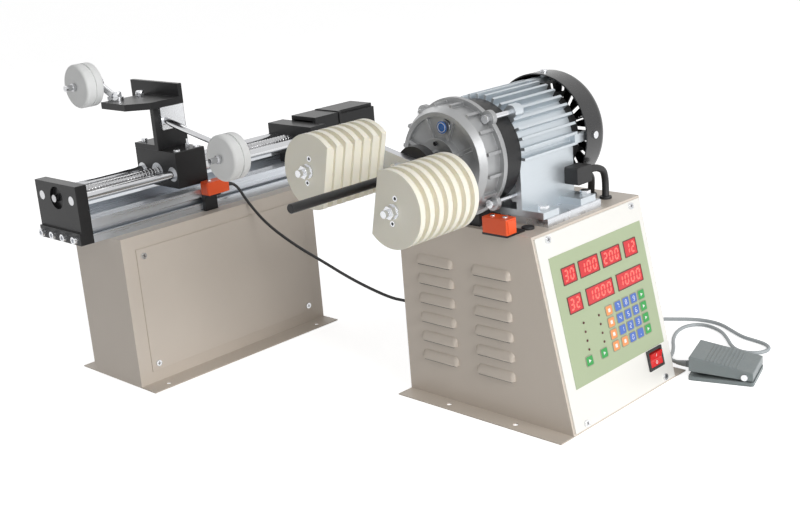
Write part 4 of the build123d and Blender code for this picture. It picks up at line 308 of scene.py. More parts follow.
@dataclass(frozen=True)
class Finish:
    """One finish of the machine, and how its material is built."""

    name: str
    colour: Colour
    roughness: float = 0.45
    spread: float = 0.12
    metallic: float = 0.0
    drift: float = 0.06
    drift_scale: float = 14.0
    relief: Relief = Relief.GRAIN
    relief_scale: float = 700.0
    stretch: Point = (1.0, 1.0, 1.0)
    bump: float = 0.12
    depth: float = 0.0002
    edge: float = 0.0007
    wear: float = 0.25
    bare: Colour = (0.55, 0.55, 0.56)
    bare_metal: float = 0.6
    dust: float = 0.12
    coat: float = 0.0
    clear: float = 0.0
    glow: Colour = (0.0, 0.0, 0.0)
    glow_strength: float = 0.0

    dust_colour: ClassVar[tuple[float, ...]] = (0.62, 0.59, 0.54, 1.0)
    dust_roughness: ClassVar[float] = 0.85
    coat_roughness: ClassVar[float] = 0.12
    cell_share: ClassVar[float] = 0.5
    shade_share: ClassVar[float] = 0.8
    scatter_radius: ClassVar[Point] = (0.004, 0.0032, 0.002)

    def _group(self, tree: Tree, group: bpy.types.NodeTree, **values: object) -> bpy.types.Node:
        """Put a shared group in the material with this finish's own values.

        Args:
            tree: the material's tree.
            group: the shared group.
            values: its inputs.

        Returns:
            The group's node.
        """
        return tree.add("ShaderNodeGroup", values, node_tree=group)

    def _height(self, tree: Tree) -> Socket:
        """The relief's height over the surface.

        Args:
            tree: the material's tree.

        Returns:
            The height's socket, from 0 to 1.
        """
        fine = self._group(tree, EFFECTS.grain, Scale=self.relief_scale, Stretch=self.stretch)
        grain = fine.outputs["Value"]
        if self.relief in (Relief.GRAIN, Relief.PEEL):
            return grain
        hammered = self.relief is Relief.HAMMER
        cells = tree.add(
            "ShaderNodeTexVoronoi", {"Vector": tree.place(), "Scale": self.relief_scale * self.cell_share},
            feature="SMOOTH_F1" if hammered else "F1",
        )
        if self.relief is Relief.SPANGLE:
            return tree.add("ShaderNodeSeparateColor", {0: cells.outputs["Color"]}).outputs[0]
        return tree.mix(0.25 if hammered else 0.6, cells.outputs["Distance"], grain)

    def build(self) -> bpy.types.Material:
        """Build the material.

        Returns:
            The finished material, the same one each time for one name.
        """
        known = bpy.data.materials.get(self.name)
        if known is not None:
            return known
        material = bpy.data.materials.new(self.name)
        tree = Tree.of(material)
        height = self._height(tree)
        edges = self._group(tree, EFFECTS.edges, Radius=self.edge, Amount=self.wear)
        rubbed = edges.outputs["Mask"]
        dusty = self._group(tree, EFFECTS.dust, Amount=self.dust).outputs["Mask"]
        paint = {"Colour": (*self.colour, 1.0), "Drift": self.drift, "Scale": self.drift_scale}
        shaded = self._group(tree, EFFECTS.drift, **paint).outputs["Colour"]
        if self.relief in (Relief.SPANGLE, Relief.CAST):
            darker = (*(c * self.shade_share for c in self.colour), 1.0)
            shaded = tree.mix(tree.spread(height, 0.5, 0.0), shaded, darker, colour=True)
        worn = tree.mix(rubbed, shaded, (*self.bare, 1.0), colour=True)
        half = self.spread / 2
        rough = tree.spread(height, self.roughness - half, self.roughness + half, 0.3, 0.7)
        metal = tree.mix(rubbed, self.metallic, max(self.bare_metal, self.metallic))
        bump = tree.add("ShaderNodeBump", {
            "Strength": self.bump, "Distance": self.depth,
            "Height": height, "Normal": edges.outputs["Normal"],
        })
        inputs = {
            "Base Color": tree.mix(dusty, worn, self.dust_colour, colour=True),
            "Roughness": tree.mix(dusty, rough, self.dust_roughness),
            "Metallic": tree.mix(dusty, metal, 0.0),
            "Normal": bump.outputs[0],
            "Coat Weight": self.coat,
            "Coat Roughness": self.coat_roughness,
        }
        if self.clear:
            inputs["Subsurface Weight"] = self.clear
            inputs["Subsurface Radius"] = self.scatter_radius
            inputs["Subsurface Scale"] = 1.0
        if self.glow_strength:
            inputs["Emission Color"] = (*self.glow, 1.0)
            inputs["Emission Strength"] = self.glow_strength
        shader = tree.add("ShaderNodeBsdfPrincipled", inputs)
        tree.add("ShaderNodeOutputMaterial", {"Surface": shader.outputs[0]})
        material.diffuse_color = (*self.colour, 1.0)
        return material


@dataclass(frozen=True)
class Metal(Finish):
    """A bare metal, which wears to brighter metal."""

    metallic: float = 1.0
    relief_scale: float = 900.0
    bare: Colour = (0.85, 0.85, 0.86)
    bare_metal: float = 1.0
    dust: float = 0.04


@dataclass(frozen=True)
class Plastic(Finish):
    """A plastic, which shows no metal where it wears."""

    relief_scale: float = 900.0
    bare_metal: float = 0.0


@dataclass(frozen=True)
class KeyCap(Plastic):
    """The printed caps of the keypad."""

    roughness: float = 0.32
    spread: float = 0.08
    drift: float = 0.05
    relief_scale: float = 1600.0
    edge: float = 0.0005
    wear: float = 0.1
    dust: float = 0.03


@dataclass(frozen=True)
class Print(Finish):
    """Thin marks, frames and windows, which don't wear."""

    roughness: float = 0.4
    spread: float = 0.06
    relief_scale: float = 1600.0
    edge: float = 0.0002
    wear: float = 0.0
    dust: float = 0.02


CABINET_PAINT = Finish(
    "cabinet_paint", (0.655, 0.585, 0.51), 0.42, 0.10, drift=0.04, relief=Relief.PEEL, relief_scale=850,
    bump=0.18, wear=0.16, bare=(0.72, 0.68, 0.62), bare_metal=0.2, dust=0.10,
)
PANEL_PAINT = Finish(
    "panel_paint", (0.43, 0.415, 0.392), 0.40, 0.10, drift=0.03, relief=Relief.PEEL, relief_scale=850,
    bump=0.15, wear=0.2, bare=(0.6, 0.6, 0.6), dust=0.04,
)
ZINC = Metal(
    "zinc_plate", (0.70, 0.72, 0.75), 0.34, 0.16, 0.92, 0.08, relief=Relief.SPANGLE, relief_scale=220,
    bump=0.03, wear=0.3, dust=0.10,
)
STEEL = Metal(
    "plain_steel", (0.56, 0.57, 0.59), 0.34, 0.14, relief_scale=500, stretch=(0.15, 1.0, 1.0), bump=0.10,
    bare=(0.75, 0.75, 0.76), dust=0.05,
)
SCREW_STEEL = Metal(
    "bright_screws", (0.74, 0.75, 0.77), 0.24, 0.10, relief_scale=1400, bump=0.06, edge=0.0004,
)
CHROMED = Metal(
    "chromed_rod", (0.62, 0.625, 0.64), 0.13, 0.06, drift=0.03, stretch=(0.03, 1.0, 1.0), bump=0.03,
)
LABEL = Plastic(
    "key_foil", (0.42, 0.495, 0.315), 0.38, 0.08, drift=0.03, relief_scale=1600, bump=0.10, edge=0.0003,
    wear=0.05, bare=(0.7, 0.75, 0.6), dust=0.03,
)
KEY_BLUE = KeyCap("blue_key", (0.075, 0.17, 0.56), bare=(0.3, 0.4, 0.7))
KEY_GREEN = KeyCap("green_key", (0.03, 0.36, 0.07), bare=(0.3, 0.6, 0.3))
KEY_ORANGE = KeyCap("orange_key", (0.87, 0.33, 0.11), bare=(0.9, 0.6, 0.4))
KEY_MARK = Print("key_marks", (0.85, 0.86, 0.84))
KEY_EDGE = Print("key_surround", (0.34, 0.33, 0.25))
LED_WINDOW = Print(
    "display_window", (0.42, 0.008, 0.012), 0.16, 0.04, drift=0.04, bump=0.03, edge=0.0004, coat=0.3,
    glow=(0.9, 0.02, 0.03), glow_strength=0.32,
)
LED_DIGIT = Print(
    "lit_digits", (0.9, 0.10, 0.08), 0.3, 0.04, dust=0.0, glow=(1.0, 0.20, 0.16), glow_strength=0.75,
)
LED_RIM = Print("display_rim", (0.10, 0.015, 0.015), 0.3, edge=0.0003)
BOARD = Plastic(
    "circuit_board", (0.05, 0.22, 0.10), 0.4, 0.1, relief_scale=1200, edge=0.0004, wear=0.05,
    bare=(0.3, 0.4, 0.3),
)
BLACK_PLASTIC = Plastic(
    "black_plastic", (0.013, 0.013, 0.014), 0.46, drift=0.15, bump=0.25, wear=0.12, bare=(0.12, 0.12, 0.12),
    dust=0.10,
)
RED_PLASTIC = Plastic(
    "red_rocker", (0.66, 0.018, 0.02), 0.22, 0.06, drift=0.05, bump=0.05, wear=0.1, bare=(0.8, 0.2, 0.15),
    dust=0.03, coat=0.4, glow=(0.8, 0.03, 0.02), glow_strength=0.12,
)
ORANGE_PLASTIC = Plastic(
    "orange_sensor", (0.88, 0.098, 0.014), 0.36, 0.08, wear=0.15, bare=(0.95, 0.3, 0.12), dust=0.05,
)
MOTOR_ALUMINIUM = Metal(
    "motor_aluminium", (0.60, 0.645, 0.68), 0.40, 0.12, 0.82, relief_scale=420, stretch=(0.12, 1.0, 1.0),
    bump=0.16, bare=(0.85, 0.86, 0.88), dust=0.08,
)
CAST_ALUMINIUM = Metal(
    "cast_aluminium", (0.40, 0.405, 0.41), 0.42, 0.16, 0.85, 0.10, relief=Relief.CAST, relief_scale=1000,
    bump=0.22, depth=0.0003, edge=0.0009, wear=0.5, bare=(0.66, 0.67, 0.68), dust=0.06,
)
STAGE_ALUMINIUM = Metal(
    "drawn_aluminium", (0.57, 0.60, 0.64), 0.30, 0.12, 0.9, 0.04, relief_scale=520, stretch=(0.02, 1.0, 1.0),
    bump=0.10, bare=(0.86, 0.87, 0.88), dust=0.06,
)
BLACK_METAL = Finish(
    "black_anodised", (0.010, 0.010, 0.011), 0.36, 0.14, 0.35, 0.18, relief_scale=900, bump=0.14, wear=0.30,
    bare=(0.16, 0.16, 0.17), bare_metal=0.7, dust=0.04,
)
BLACK_CAST = Finish(
    "black_castings", (0.012, 0.012, 0.013), 0.40, 0.14, 0.25, 0.18, relief=Relief.CAST, relief_scale=900,
    bump=0.22, bare=(0.15, 0.15, 0.15), dust=0.05,
)
SATIN_BLACK = Finish(
    "satin_black_enamel", (0.008, 0.008, 0.009), 0.24, 0.08, drift=0.12, relief=Relief.PEEL, bump=0.16,
    wear=0.15, bare=(0.08, 0.08, 0.08), bare_metal=0.3, dust=0.03, coat=0.35,
)
COPPER = Finish(
    "enamelled_copper", (0.60, 0.28, 0.12), 0.3, 0.12, 0.9, relief_scale=900, stretch=(1.0, 0.1, 1.0),
    bump=0.4,
)
NYLON = Plastic(
    "ivory_nylon", (0.90, 0.865, 0.745), 0.40, 0.10, drift=0.04, drift_scale=26, relief_scale=500,
    stretch=(1.0, 1.0, 0.25), edge=0.0011, bare=(0.95, 0.93, 0.85), dust=0.03, clear=0.16,
)
WHITE_NYLON = Plastic(
    "white_nylon", (0.87, 0.89, 0.885), 0.34, 0.10, drift=0.04, relief_scale=600, bump=0.08, edge=0.0011,
    wear=0.2, bare=(0.9, 0.92, 0.92), dust=0.04, clear=0.35,
)
PEDAL_ENAMEL = Finish(
    "grey_hammer_enamel", (0.205, 0.238, 0.243), 0.36, 0.12, drift=0.07, relief=Relief.HAMMER,
    relief_scale=900, bump=0.35, depth=0.0003, wear=0.3, bare=(0.45, 0.47, 0.47), bare_metal=0.3, dust=0.10,
)
RUBBER = Plastic(
    "black_rubber", (0.012, 0.012, 0.013), 0.52, drift=0.15, relief_scale=1100, bump=0.15, wear=0.05,
    bare=(0.08, 0.08, 0.08), dust=0.05,
)
GREY_LEAD = Plastic(
    "grey_lead", (0.42, 0.455, 0.47), 0.42, 0.10, bump=0.08, wear=0.05, bare=(0.6, 0.6, 0.6), dust=0.08,
)
BADGE_BLUE = Plastic(
    "blue_badge", (0.02, 0.13, 0.46), 0.26, 0.06, drift=0.05, bump=0.05, wear=0.1, bare=(0.5, 0.6, 0.8),
    dust=0.04, coat=0.3,
)
# Painted shade: the dark of the screws' cross slots and of the openings under the louvre hoods, laid on as
# thin dark inlays.
RECESS_SHADE = Print("screw_recess", (0.035, 0.034, 0.033), 0.55, 0.10, relief_scale=1400, bump=0.1, dust=0.05)
GREASED_SCREW = Metal(
    "greased_screw", (0.50, 0.50, 0.51), 0.22, 0.12, drift=0.10, bump=0.05, edge=0.0003, wear=0.4,
    bare=(0.8, 0.8, 0.8),
)


@dataclass(frozen=True)
class Outfit:
    """What a fine part wears, the name of a material slot, which is not used, and the body that it rides on.
    """

    finish: Finish
    slot: str
    body: str = "machine"


# ---------------------------------------------------------------- mesh tools


def placement(origin: Point, along: Point, up: Point, out: Point) -> Matrix:
    """A matrix from a piece's own millimetres to the frame's metres.

    Args:
        origin: where its own zero stands, in millimetres.
        along: the direction of its x.
        up: the direction of its y.
        out: the direction of its z.

    Returns:
        The matrix.
    """
    turn = Matrix((along, up, out)).transposed().to_4x4()
    return FROM_MM @ Matrix.Translation(origin) @ turn


PANEL_SLOPE = (0.0, 0.20924, 0.97787)
PANEL_OUT = (0.0, -0.97787, 0.20924)
PANEL_FACE = placement((0, -127, 0), (1, 0, 0), PANEL_SLOPE, PANEL_OUT)


def panel_spot(x: float, t: float, high: float) -> tuple[Point, Point]:
    """A spot over the control panel, for a stamped part.

    Args:
        x: its x in millimetres.
        t: its place up the slope.
        high: its height over the panel plane.

    Returns:
        The spot in millimetres and the way the panel faces.
    """
    out = (PANEL_FACE.to_3x3() @ Vector((0, 0, 1))).normalized()
    return tuple((PANEL_FACE @ Vector((x, t, high))) / MM), tuple(out)


def circle(radius: float, sides: int) -> Outline:
    """The points of a circle, counter-clockwise.

    Args:
        radius: its radius.
        sides: how many points it has.

    Returns:
        The points.
    """
    turns = [2 * math.pi * k / sides for k in range(sides)]
    return [(radius * math.cos(turn), radius * math.sin(turn)) for turn in turns]


def rounded_box(middle: Pair, size: Pair, radius: float, steps: int = 4) -> Outline:
    """The outline of a box with round corners, counter-clockwise.

    Args:
        middle: its middle.
        size: its width and height.
        radius: the corner's radius.
        steps: how many runs make one corner.

    Returns:
        The outline's points.
    """
    points = []
    for corner, (side_x, side_y) in enumerate(((1, 1), (-1, 1), (-1, -1), (1, -1))):
        centre_x = middle[0] + side_x * (size[0] / 2 - radius)
        centre_y = middle[1] + side_y * (size[1] / 2 - radius)
        for step in range(steps + 1):
            angle = math.pi / 2 * (corner + step / steps)
            points.append((centre_x + radius * math.cos(angle), centre_y + radius * math.sin(angle)))
    return points


def bridge(bm: Mesh, rings: list[list[bmesh.types.BMVert]], ends: bool = True) -> None:
    """Join rings of as many points with faces.

    Args:
        bm: the mesh that they are in.
        rings: the rings in their order.
        ends: whether a face closes the first ring and another the last.
    """
    for lower, upper in zip(rings, rings[1:]):
        for k, vertex in enumerate(lower):
            n = (k + 1) % len(lower)
            bm.faces.new((vertex, lower[n], upper[n], upper[k]))
    if ends:
        bm.faces.new(list(reversed(rings[0])))
        bm.faces.new(rings[-1])


def add_slab(bm: Mesh, outline: Outline, levels: Pair, place: Matrix, edge: float = 0.0) -> None:
    """Add a closed slab, with its upper edge chamfered if asked.

    Args:
        bm: the mesh that it goes into.
        outline: its outline, counter-clockwise, in millimetres.
        levels: its lower and its upper face.
        place: where it stands.
        edge: the chamfer.
    """
    low, high = levels
    count = len(outline)
    centre = Vector((sum(p[0] for p in outline) / count, sum(p[1] for p in outline) / count))
    rings = []
    for level, inset in [(low, 0.0), (high - edge, 0.0)] + ([(high, edge)] if edge else []):
        ring = []
        for corner in (Vector(point) for point in outline):
            moved = corner + (centre - corner).normalized() * inset if inset else corner
            ring.append(bm.verts.new(place @ Vector((moved.x, moved.y, level))))
        rings.append(ring)
    bridge(bm, rings)


def add_frame(bm: Mesh, outer: Outline, inner: Outline, levels: Pair, place: Matrix) -> None:
    """Add a flat frame between two outlines of as many points.

    Args:
        bm: the mesh that it goes into.
        outer: its outer outline, counter-clockwise.
        inner: its inner outline, counter-clockwise.
        levels: its lower and its upper face.
        place: where it stands.
    """
    low, high = levels
    rings = [
        [bm.verts.new(place @ Vector((x, y, level))) for x, y in outline]
        for outline, level in ((outer, low), (outer, high), (inner, high), (inner, low))
    ]
    bridge(bm, rings + rings[:1], ends=False)


def add_turned(bm: Mesh, profile: list[Pair], place: Matrix, sides: int = 24) -> None:
    """Add a turned body around its own z.

    Args:
        bm: the mesh that it goes into.
        profile: height and radius of each ring, from the bottom up; the ends are closed.
        place: where it stands.
        sides: how many faces go round.
    """
    bridge(bm, [
        [bm.verts.new(place @ Vector((x, y, height))) for x, y in circle(radius, sides)]
        for height, radius in profile
    ])


def finished(name: str, bm: Mesh, outfit: Outfit) -> Piece:
    """Turn a mesh into a dressed piece that rides on its body.

    Args:
        name: the piece's name.
        bm: its mesh, in the frame's metres.
        outfit: what it wears and rides on.

    Returns:
        The piece.
    """
    sharp = math.radians(35.0)
    bmesh.ops.recalc_face_normals(bm, faces=bm.faces)
    for face in bm.faces:
        face.smooth = True
    for edge in bm.edges:
        if len(edge.link_faces) == 2 and edge.calc_face_angle(0.0) > sharp:
            edge.smooth = False
    mesh = bpy.data.meshes.new(name)
    bm.to_mesh(mesh)
    bm.free()
    piece = bpy.data.objects.new(name, mesh)
    bpy.context.scene.collection.objects.link(piece)
    mesh.materials.append(outfit.finish.build())
    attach(piece, outfit.body)
    LOG.info("%s: %d faces on %s", name, len(mesh.polygons), outfit.body)
    return piece


def dress(finish: Finish, *nodes: str) -> None:
    """Give CAD nodes a finish.

    Args:
        finish: the finish.
        nodes: the nodes' names.
    """
    material = finish.build()
    for name in nodes:
        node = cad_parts[name]
        if not node.material_slots:
            node.data.materials.append(material)
        for place in node.material_slots:
            place.material = material
        LOG.info("%s wears %s", name, finish.name)


# ------------------------------------------------------------ Geometry Nodes


class PieceTree:
    """A Geometry Nodes tree that makes plain, dressed pieces out of a mesh."""

    def __init__(self, tree: Tree, geometry: Socket, title: str) -> None:
        """End the tree: real geometry in the finish that is given.

        Args:
            tree: the tree.
            geometry: what it made.
            title: the output's name.
        """
        real = tree.add("GeometryNodeRealizeInstances", {0: geometry})
        inputs = {"Geometry": real.outputs[0], "Material": tree.given("Finish")}
        paint = tree.add("GeometryNodeSetMaterial", inputs)
        self.group = tree.give(**{title: paint.outputs[0]})

    def _make(self, name: str, mesh: bpy.types.Mesh, values: Values, outfit: Outfit) -> Piece:
        """Run the tree on a mesh and keep the result as a plain piece.

        Args:
            name: the piece's name.
            mesh: the mesh that the tree gets.
            values: the tree's other inputs by name.
            outfit: what the piece wears and rides on.

        Returns:
            The piece.
        """
        carrier = bpy.data.objects.new(name + "_carrier", mesh)
        bpy.context.scene.collection.objects.link(carrier)
        modifier = carrier.modifiers.new("made", "NODES")
        modifier.node_group = self.group
        values = {**values, "Finish": outfit.finish.build()}
        for item in self.group.interface.items_tree:
            if item.item_type == "SOCKET" and item.in_out == "INPUT" and item.name in values:
                modifier[item.identifier] = values[item.name]
        graph = bpy.context.evaluated_depsgraph_get()
        made = bpy.data.meshes.new_from_object(carrier.evaluated_get(graph), depsgraph=graph)
        bpy.data.objects.remove(carrier)
        bm = bmesh.new()
        bm.from_mesh(made)
        bpy.data.meshes.remove(made)
        return finished(name, bm, outfit)

    def _plain(self, name: str, bm: Mesh) -> bpy.types.Mesh:
        """Turn a mesh under work into a mesh that the tree can take.

        Args:
            name: the mesh's name.
            bm: the mesh under work, which is freed.

        Returns:
            The mesh.
        """
        mesh = bpy.data.meshes.new(name)
        bmesh.ops.recalc_face_normals(bm, faces=bm.faces)
        bm.to_mesh(mesh)
        bm.free()
        return mesh


class StampTree(PieceTree):
    """A tree that sets one stamped part on every point of a mesh, square to its face."""

    def __init__(self) -> None:
        """Build the tree with its named inputs."""
        tree = Tree.group(
            "stamped_parts", "GeometryNodeTree",
            {
                "Points": ("Geometry", None), "Stamp": ("Object", None), "Finish": ("Material", None),
                "Size": ("Float", 1.0), "Turn Spread": ("Float", 3.1), "Seed": ("Int", 7),
            },
            {"Parts": ("Geometry", None)},
        )
        source = {"Object": tree.given("Stamp")}
        stamp = tree.add("GeometryNodeObjectInfo", source, transform_space="ORIGINAL")
        facing = tree.add("GeometryNodeInputNamedAttribute", {"Name": "facing"}, data_type="FLOAT_VECTOR")
        outwards = {"Vector": facing.outputs["Attribute"]}
        align = tree.add("FunctionNodeAlignRotationToVector", outwards, axis="Z")
        limits = {2: 0.0, 3: tree.given("Turn Spread"), "Seed": tree.given("Seed")}
        spin = tree.add("FunctionNodeRandomValue", limits, data_type="FLOAT")
        about = tree.add("ShaderNodeCombineXYZ", {"Z": spin.outputs[1]})
        turns = {0: align.outputs[0], 1: about.outputs[0]}
        turn = tree.add("FunctionNodeRotateRotation", turns, rotation_space="LOCAL")
        size = tree.add("ShaderNodeCombineXYZ", {axis: tree.given("Size") for axis in "XYZ"})
        put = tree.add("GeometryNodeInstanceOnPoints", {
            "Points": tree.given("Points"), "Instance": stamp.outputs["Geometry"],
            "Rotation": turn.outputs[0], "Scale": size.outputs[0],
        })
        super().__init__(tree, put.outputs[0], "Parts")

    def stamp(self, name: str, part: Mesh, places: Places, outfit: Outfit, spread: float = 3.1) -> Piece:
        """Set one part on many places and turn the result into a plain piece.

        Args:
            name: the piece's name.
            part: the part's mesh in metres, its foot at its own zero and z outwards.
            places: each place in millimetres and the direction it faces.
            outfit: what the piece wears and rides on.
            spread: how far the parts may be turned about their own axes.

        Returns:
            The piece.
        """
        pattern = bpy.data.objects.new(name + "_stamp", self._plain(name + "_stamp", part))
        points = bpy.data.meshes.new(name + "_points")
        points.from_pydata([tuple(c * MM for c in place) for place, _ in places], [], [])
        facing = points.attributes.new("facing", "FLOAT_VECTOR", "POINT")
        for k, (_, direction) in enumerate(places):
            facing.data[k].vector = direction
        values = {"Stamp": pattern, "Size": 1.0, "Turn Spread": spread, "Seed": 7}
        piece = self._make(name, points, values, outfit)
        bpy.data.objects.remove(pattern)
        return piece


class ThreadTree(PieceTree):
    """A tree that winds a rounded ridge round a shaft along X."""

    def __init__(self) -> None:
        """Build the tree with its named inputs."""
        tree = Tree.group(
            "wound_ridge", "GeometryNodeTree",
            {
                "Geometry": ("Geometry", None), "Start": ("Vector", (0.0, 0.0, 0.0)),
                "Length": ("Float", 0.3), "Turns": ("Float", 30.0), "Radius": ("Float", 0.006),
                "Ridge": ("Float", 0.001), "Finish": ("Material", None),
            },
            {"Thread": ("Geometry", None)},
        )
        helix = tree.add("GeometryNodeCurveSpiral", {
            "Resolution": 22, "Rotations": tree.given("Turns"), "Start Radius": tree.given("Radius"),
            "End Radius": tree.given("Radius"), "Height": tree.given("Length"),
        })
        section = {"Resolution": 7, "Radius": tree.given("Ridge")}
        ridge = tree.add("GeometryNodeCurvePrimitiveCircle", section, mode="RADIUS")
        sweep = tree.add("GeometryNodeCurveToMesh", {
            "Curve": helix.outputs[0], "Profile Curve": ridge.outputs[0], "Fill Caps": True,
        })
        lay = tree.add("GeometryNodeTransform", {
            "Geometry": sweep.outputs[0], "Translation": tree.given("Start"),
            "Rotation": (0.0, math.pi / 2, 0.0),
        })
        both = tree.add("GeometryNodeJoinGeometry")
        for part in (tree.given("Geometry"), lay.outputs[0]):
            tree.tree.links.new(part, both.inputs[0])
        super().__init__(tree, both.outputs[0], "Thread")

    def wind(self, name: str, core: Mesh, values: Values, outfit: Outfit) -> Piece:
        """Wind the ridge round a core and return both as one plain piece.

        Args:
            name: the piece's name.
            core: the shaft's mesh, in metres.
            values: the tree's inputs by name.
            outfit: what the piece wears and rides on.

        Returns:
            The piece.
        """
        return self._make(name, self._plain(name + "_core", core), values, outfit)


def cross_slot_shade(reach: float, width: float) -> Mesh:
    """The cross slot of a screw, as a thin inlay on its head that carries the slot's painted shade.

    Args:
        reach: half the slot's length, in millimetres.
        width: its width.

    Returns:
        The inlay's mesh in metres.
    """
    bm = bmesh.new()
    half = width / 2
    arm = [(half, half), (half, reach), (-half, reach)]
    other = [(-half, half), (-reach, half), (-reach, -half)]
    outline = arm + other + [(-x, -y) for x, y in arm + other]
    add_slab(bm, outline, (-0.15, 0.06), FROM_MM)
    return bm


def pan_head(radius: float, height: float) -> Mesh:
    """A domed screw head.

    Args:
        radius: its radius in millimetres.
        height: its height.

    Returns:
        The head's mesh in metres.
    """
    bm = bmesh.new()
    rise = [(0.45, 1.0), (0.8, 0.86), (1.0, 0.55)]
    profile = [(-0.3, radius * 0.98)] + [(height * up, radius * reach) for up, reach in rise]
    add_turned(bm, profile, FROM_MM, 20)
    return bm


def socket_head(radius: float, height: float, key: float) -> Mesh:
    """A cap screw's head with its hexagon socket.

    Args:
        radius: its radius in millimetres.
        height: its height.
        key: the socket's reach to a corner.

    Returns:
        The head's mesh in metres.
    """
    bm = bmesh.new()
    rings, sides, sixth = [], 24, math.pi / 3
    levels = (
        (radius, -0.3, False), (radius, height - 0.4, False), (radius - 0.4, height, False),
        (key, height, True), (key, height * 0.35, True),
    )
    for reach, level, hexagon in levels:
        ring = []
        for k, (x, y) in enumerate(circle(reach, sides)):
            angle = 2 * math.pi * k / sides
            shrink = math.cos(sixth / 2) / math.cos(angle % sixth - sixth / 2) if hexagon else 1.0
            ring.append(bm.verts.new(FROM_MM @ Vector((x * shrink, y * shrink, level))))
        rings.append(ring)
    bridge(bm, rings)
    return bm


# ---------------------------------------------------------------- free leads


@dataclass
class FreeLead:
    """A free lead: one smooth line with a tapered relief at its exit and a plug at its end."""

    name: str
    node: str
    radius: float
    length: float
    route: tuple[Point, ...]
    outfit: Outfit
    stiffness: str
    relief_length: float
    relief_radius: float

    rear_wall_y: ClassVar[float] = 139.0
    relief_sides: ClassVar[int] = 20
    relief_ribs: ClassVar[int] = 12
    plug_ribs: ClassVar[int] = 18
    aside: ClassVar[Point] = (0.13, 0.21, 1.0)

    def _curve(self, name: str, resolution: int) -> Piece:
        """The route as one smooth line.

        Args:
            name: the line's name.
            resolution: how many runs each of its spans has.

        Returns:
            The line.
        """
        data = bpy.data.curves.new(name, "CURVE")
        data.dimensions = "3D"
        data.resolution_u = resolution
        spline = data.splines.new("NURBS")
        spline.points.add(len(self.route) - 1)
        for point, place in zip(spline.points, self.route):
            point.co = (*place, 1.0)
        spline.order_u = 3
        spline.use_endpoint_u = True
        line = bpy.data.objects.new(name, data)
        bpy.context.scene.collection.objects.link(line)
        return line

    def _line(self) -> Piece:
        """The lead's own curve, rounded to its radius."""
        lead = self._curve(self.name, 12)
        lead.data.bevel_depth = self.radius
        lead.data.bevel_resolution = 4
        lead.data.use_fill_caps = True
        lead.data.materials.append(self.outfit.finish.build())
        return lead

    def _centreline(self) -> list[Vector]:
        """The points of the lead's middle, read from its line."""
        bare = self._curve(self.name + "_middle", 24)
        graph = bpy.context.evaluated_depsgraph_get()
        mesh = bpy.data.meshes.new_from_object(bare.evaluated_get(graph), depsgraph=graph)
        points = [vertex.co.copy() for vertex in mesh.vertices]
        bpy.data.objects.remove(bare)
        bpy.data.meshes.remove(mesh)
        return points

    def _relief(self) -> Piece:
        """The tapered, ribbed sleeve where the lead leaves its housing."""
        middle = self._centreline()
        bm = bmesh.new()
        run, rings, rib_height, slack = 0.0, [], 0.0003, 0.0002
        for before, point, after in zip([middle[0]] + middle, middle, middle[1:] + [middle[-1]]):
            run += (point - before).length
            if run > self.relief_length:
                break
            along = (after - before).normalized()
            side = along.cross(Vector(self.aside)).normalized()
            other = along.cross(side)
            share = run / self.relief_length
            rib = rib_height if int(share * self.relief_ribs) % 2 else 0.0
            taper = (self.radius + slack - self.relief_radius) * share
            round_it = circle(self.relief_radius + taper + rib * (1 - share), self.relief_sides)
            rings.append([bm.verts.new(point + x * side + y * other) for x, y in round_it])
        bridge(bm, rings)
        return finished(self.name + "_relief", bm, self.outfit)

    def _plug(self) -> Piece:
        """The round plug at the far end, with a ribbed coupling ring and a tail."""
        x, _, z = (c / MM for c in self.route[-1])
        bm = bmesh.new()
        place = placement((x, self.rear_wall_y, z), (1, 0, 0), (0, 0, -1), (0, 1, 0))
        ring = [(0.0, 5.6), (0.4, 6.2), (10.6, 6.2), (11.2, 5.7), (12.0, 4.9)]
        tail = [(16.0, 4.7), (17.0, 4.2), (22.0, self.radius / MM + 0.4)]
        add_turned(bm, ring + tail, place, 28)
        stand = Matrix.Translation((6.15, 0, 0)) @ Matrix.Rotation(math.pi / 2, 4, "Y")
        for k in range(self.plug_ribs):
            rib = Matrix.Rotation(2 * math.pi * k / self.plug_ribs, 4, "Z") @ stand
            add_slab(bm, rounded_box((-5.5, 0), (9.0, 1.0), 0.3, 2), (-0.2, 0.32), place @ rib)
        return finished(self.name + "_plug", bm, Outfit(BLACK_PLASTIC, "black_plastic"))

    def build(self) -> None:
        lead = self._line()
        plug, relief = self._plug(), self._relief()
        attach(lead, "machine")
        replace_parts(lead, self.node)
        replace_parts(plug, "lead_plugs")
        LOG.info("%s: %.3f m", self.name, self.length)


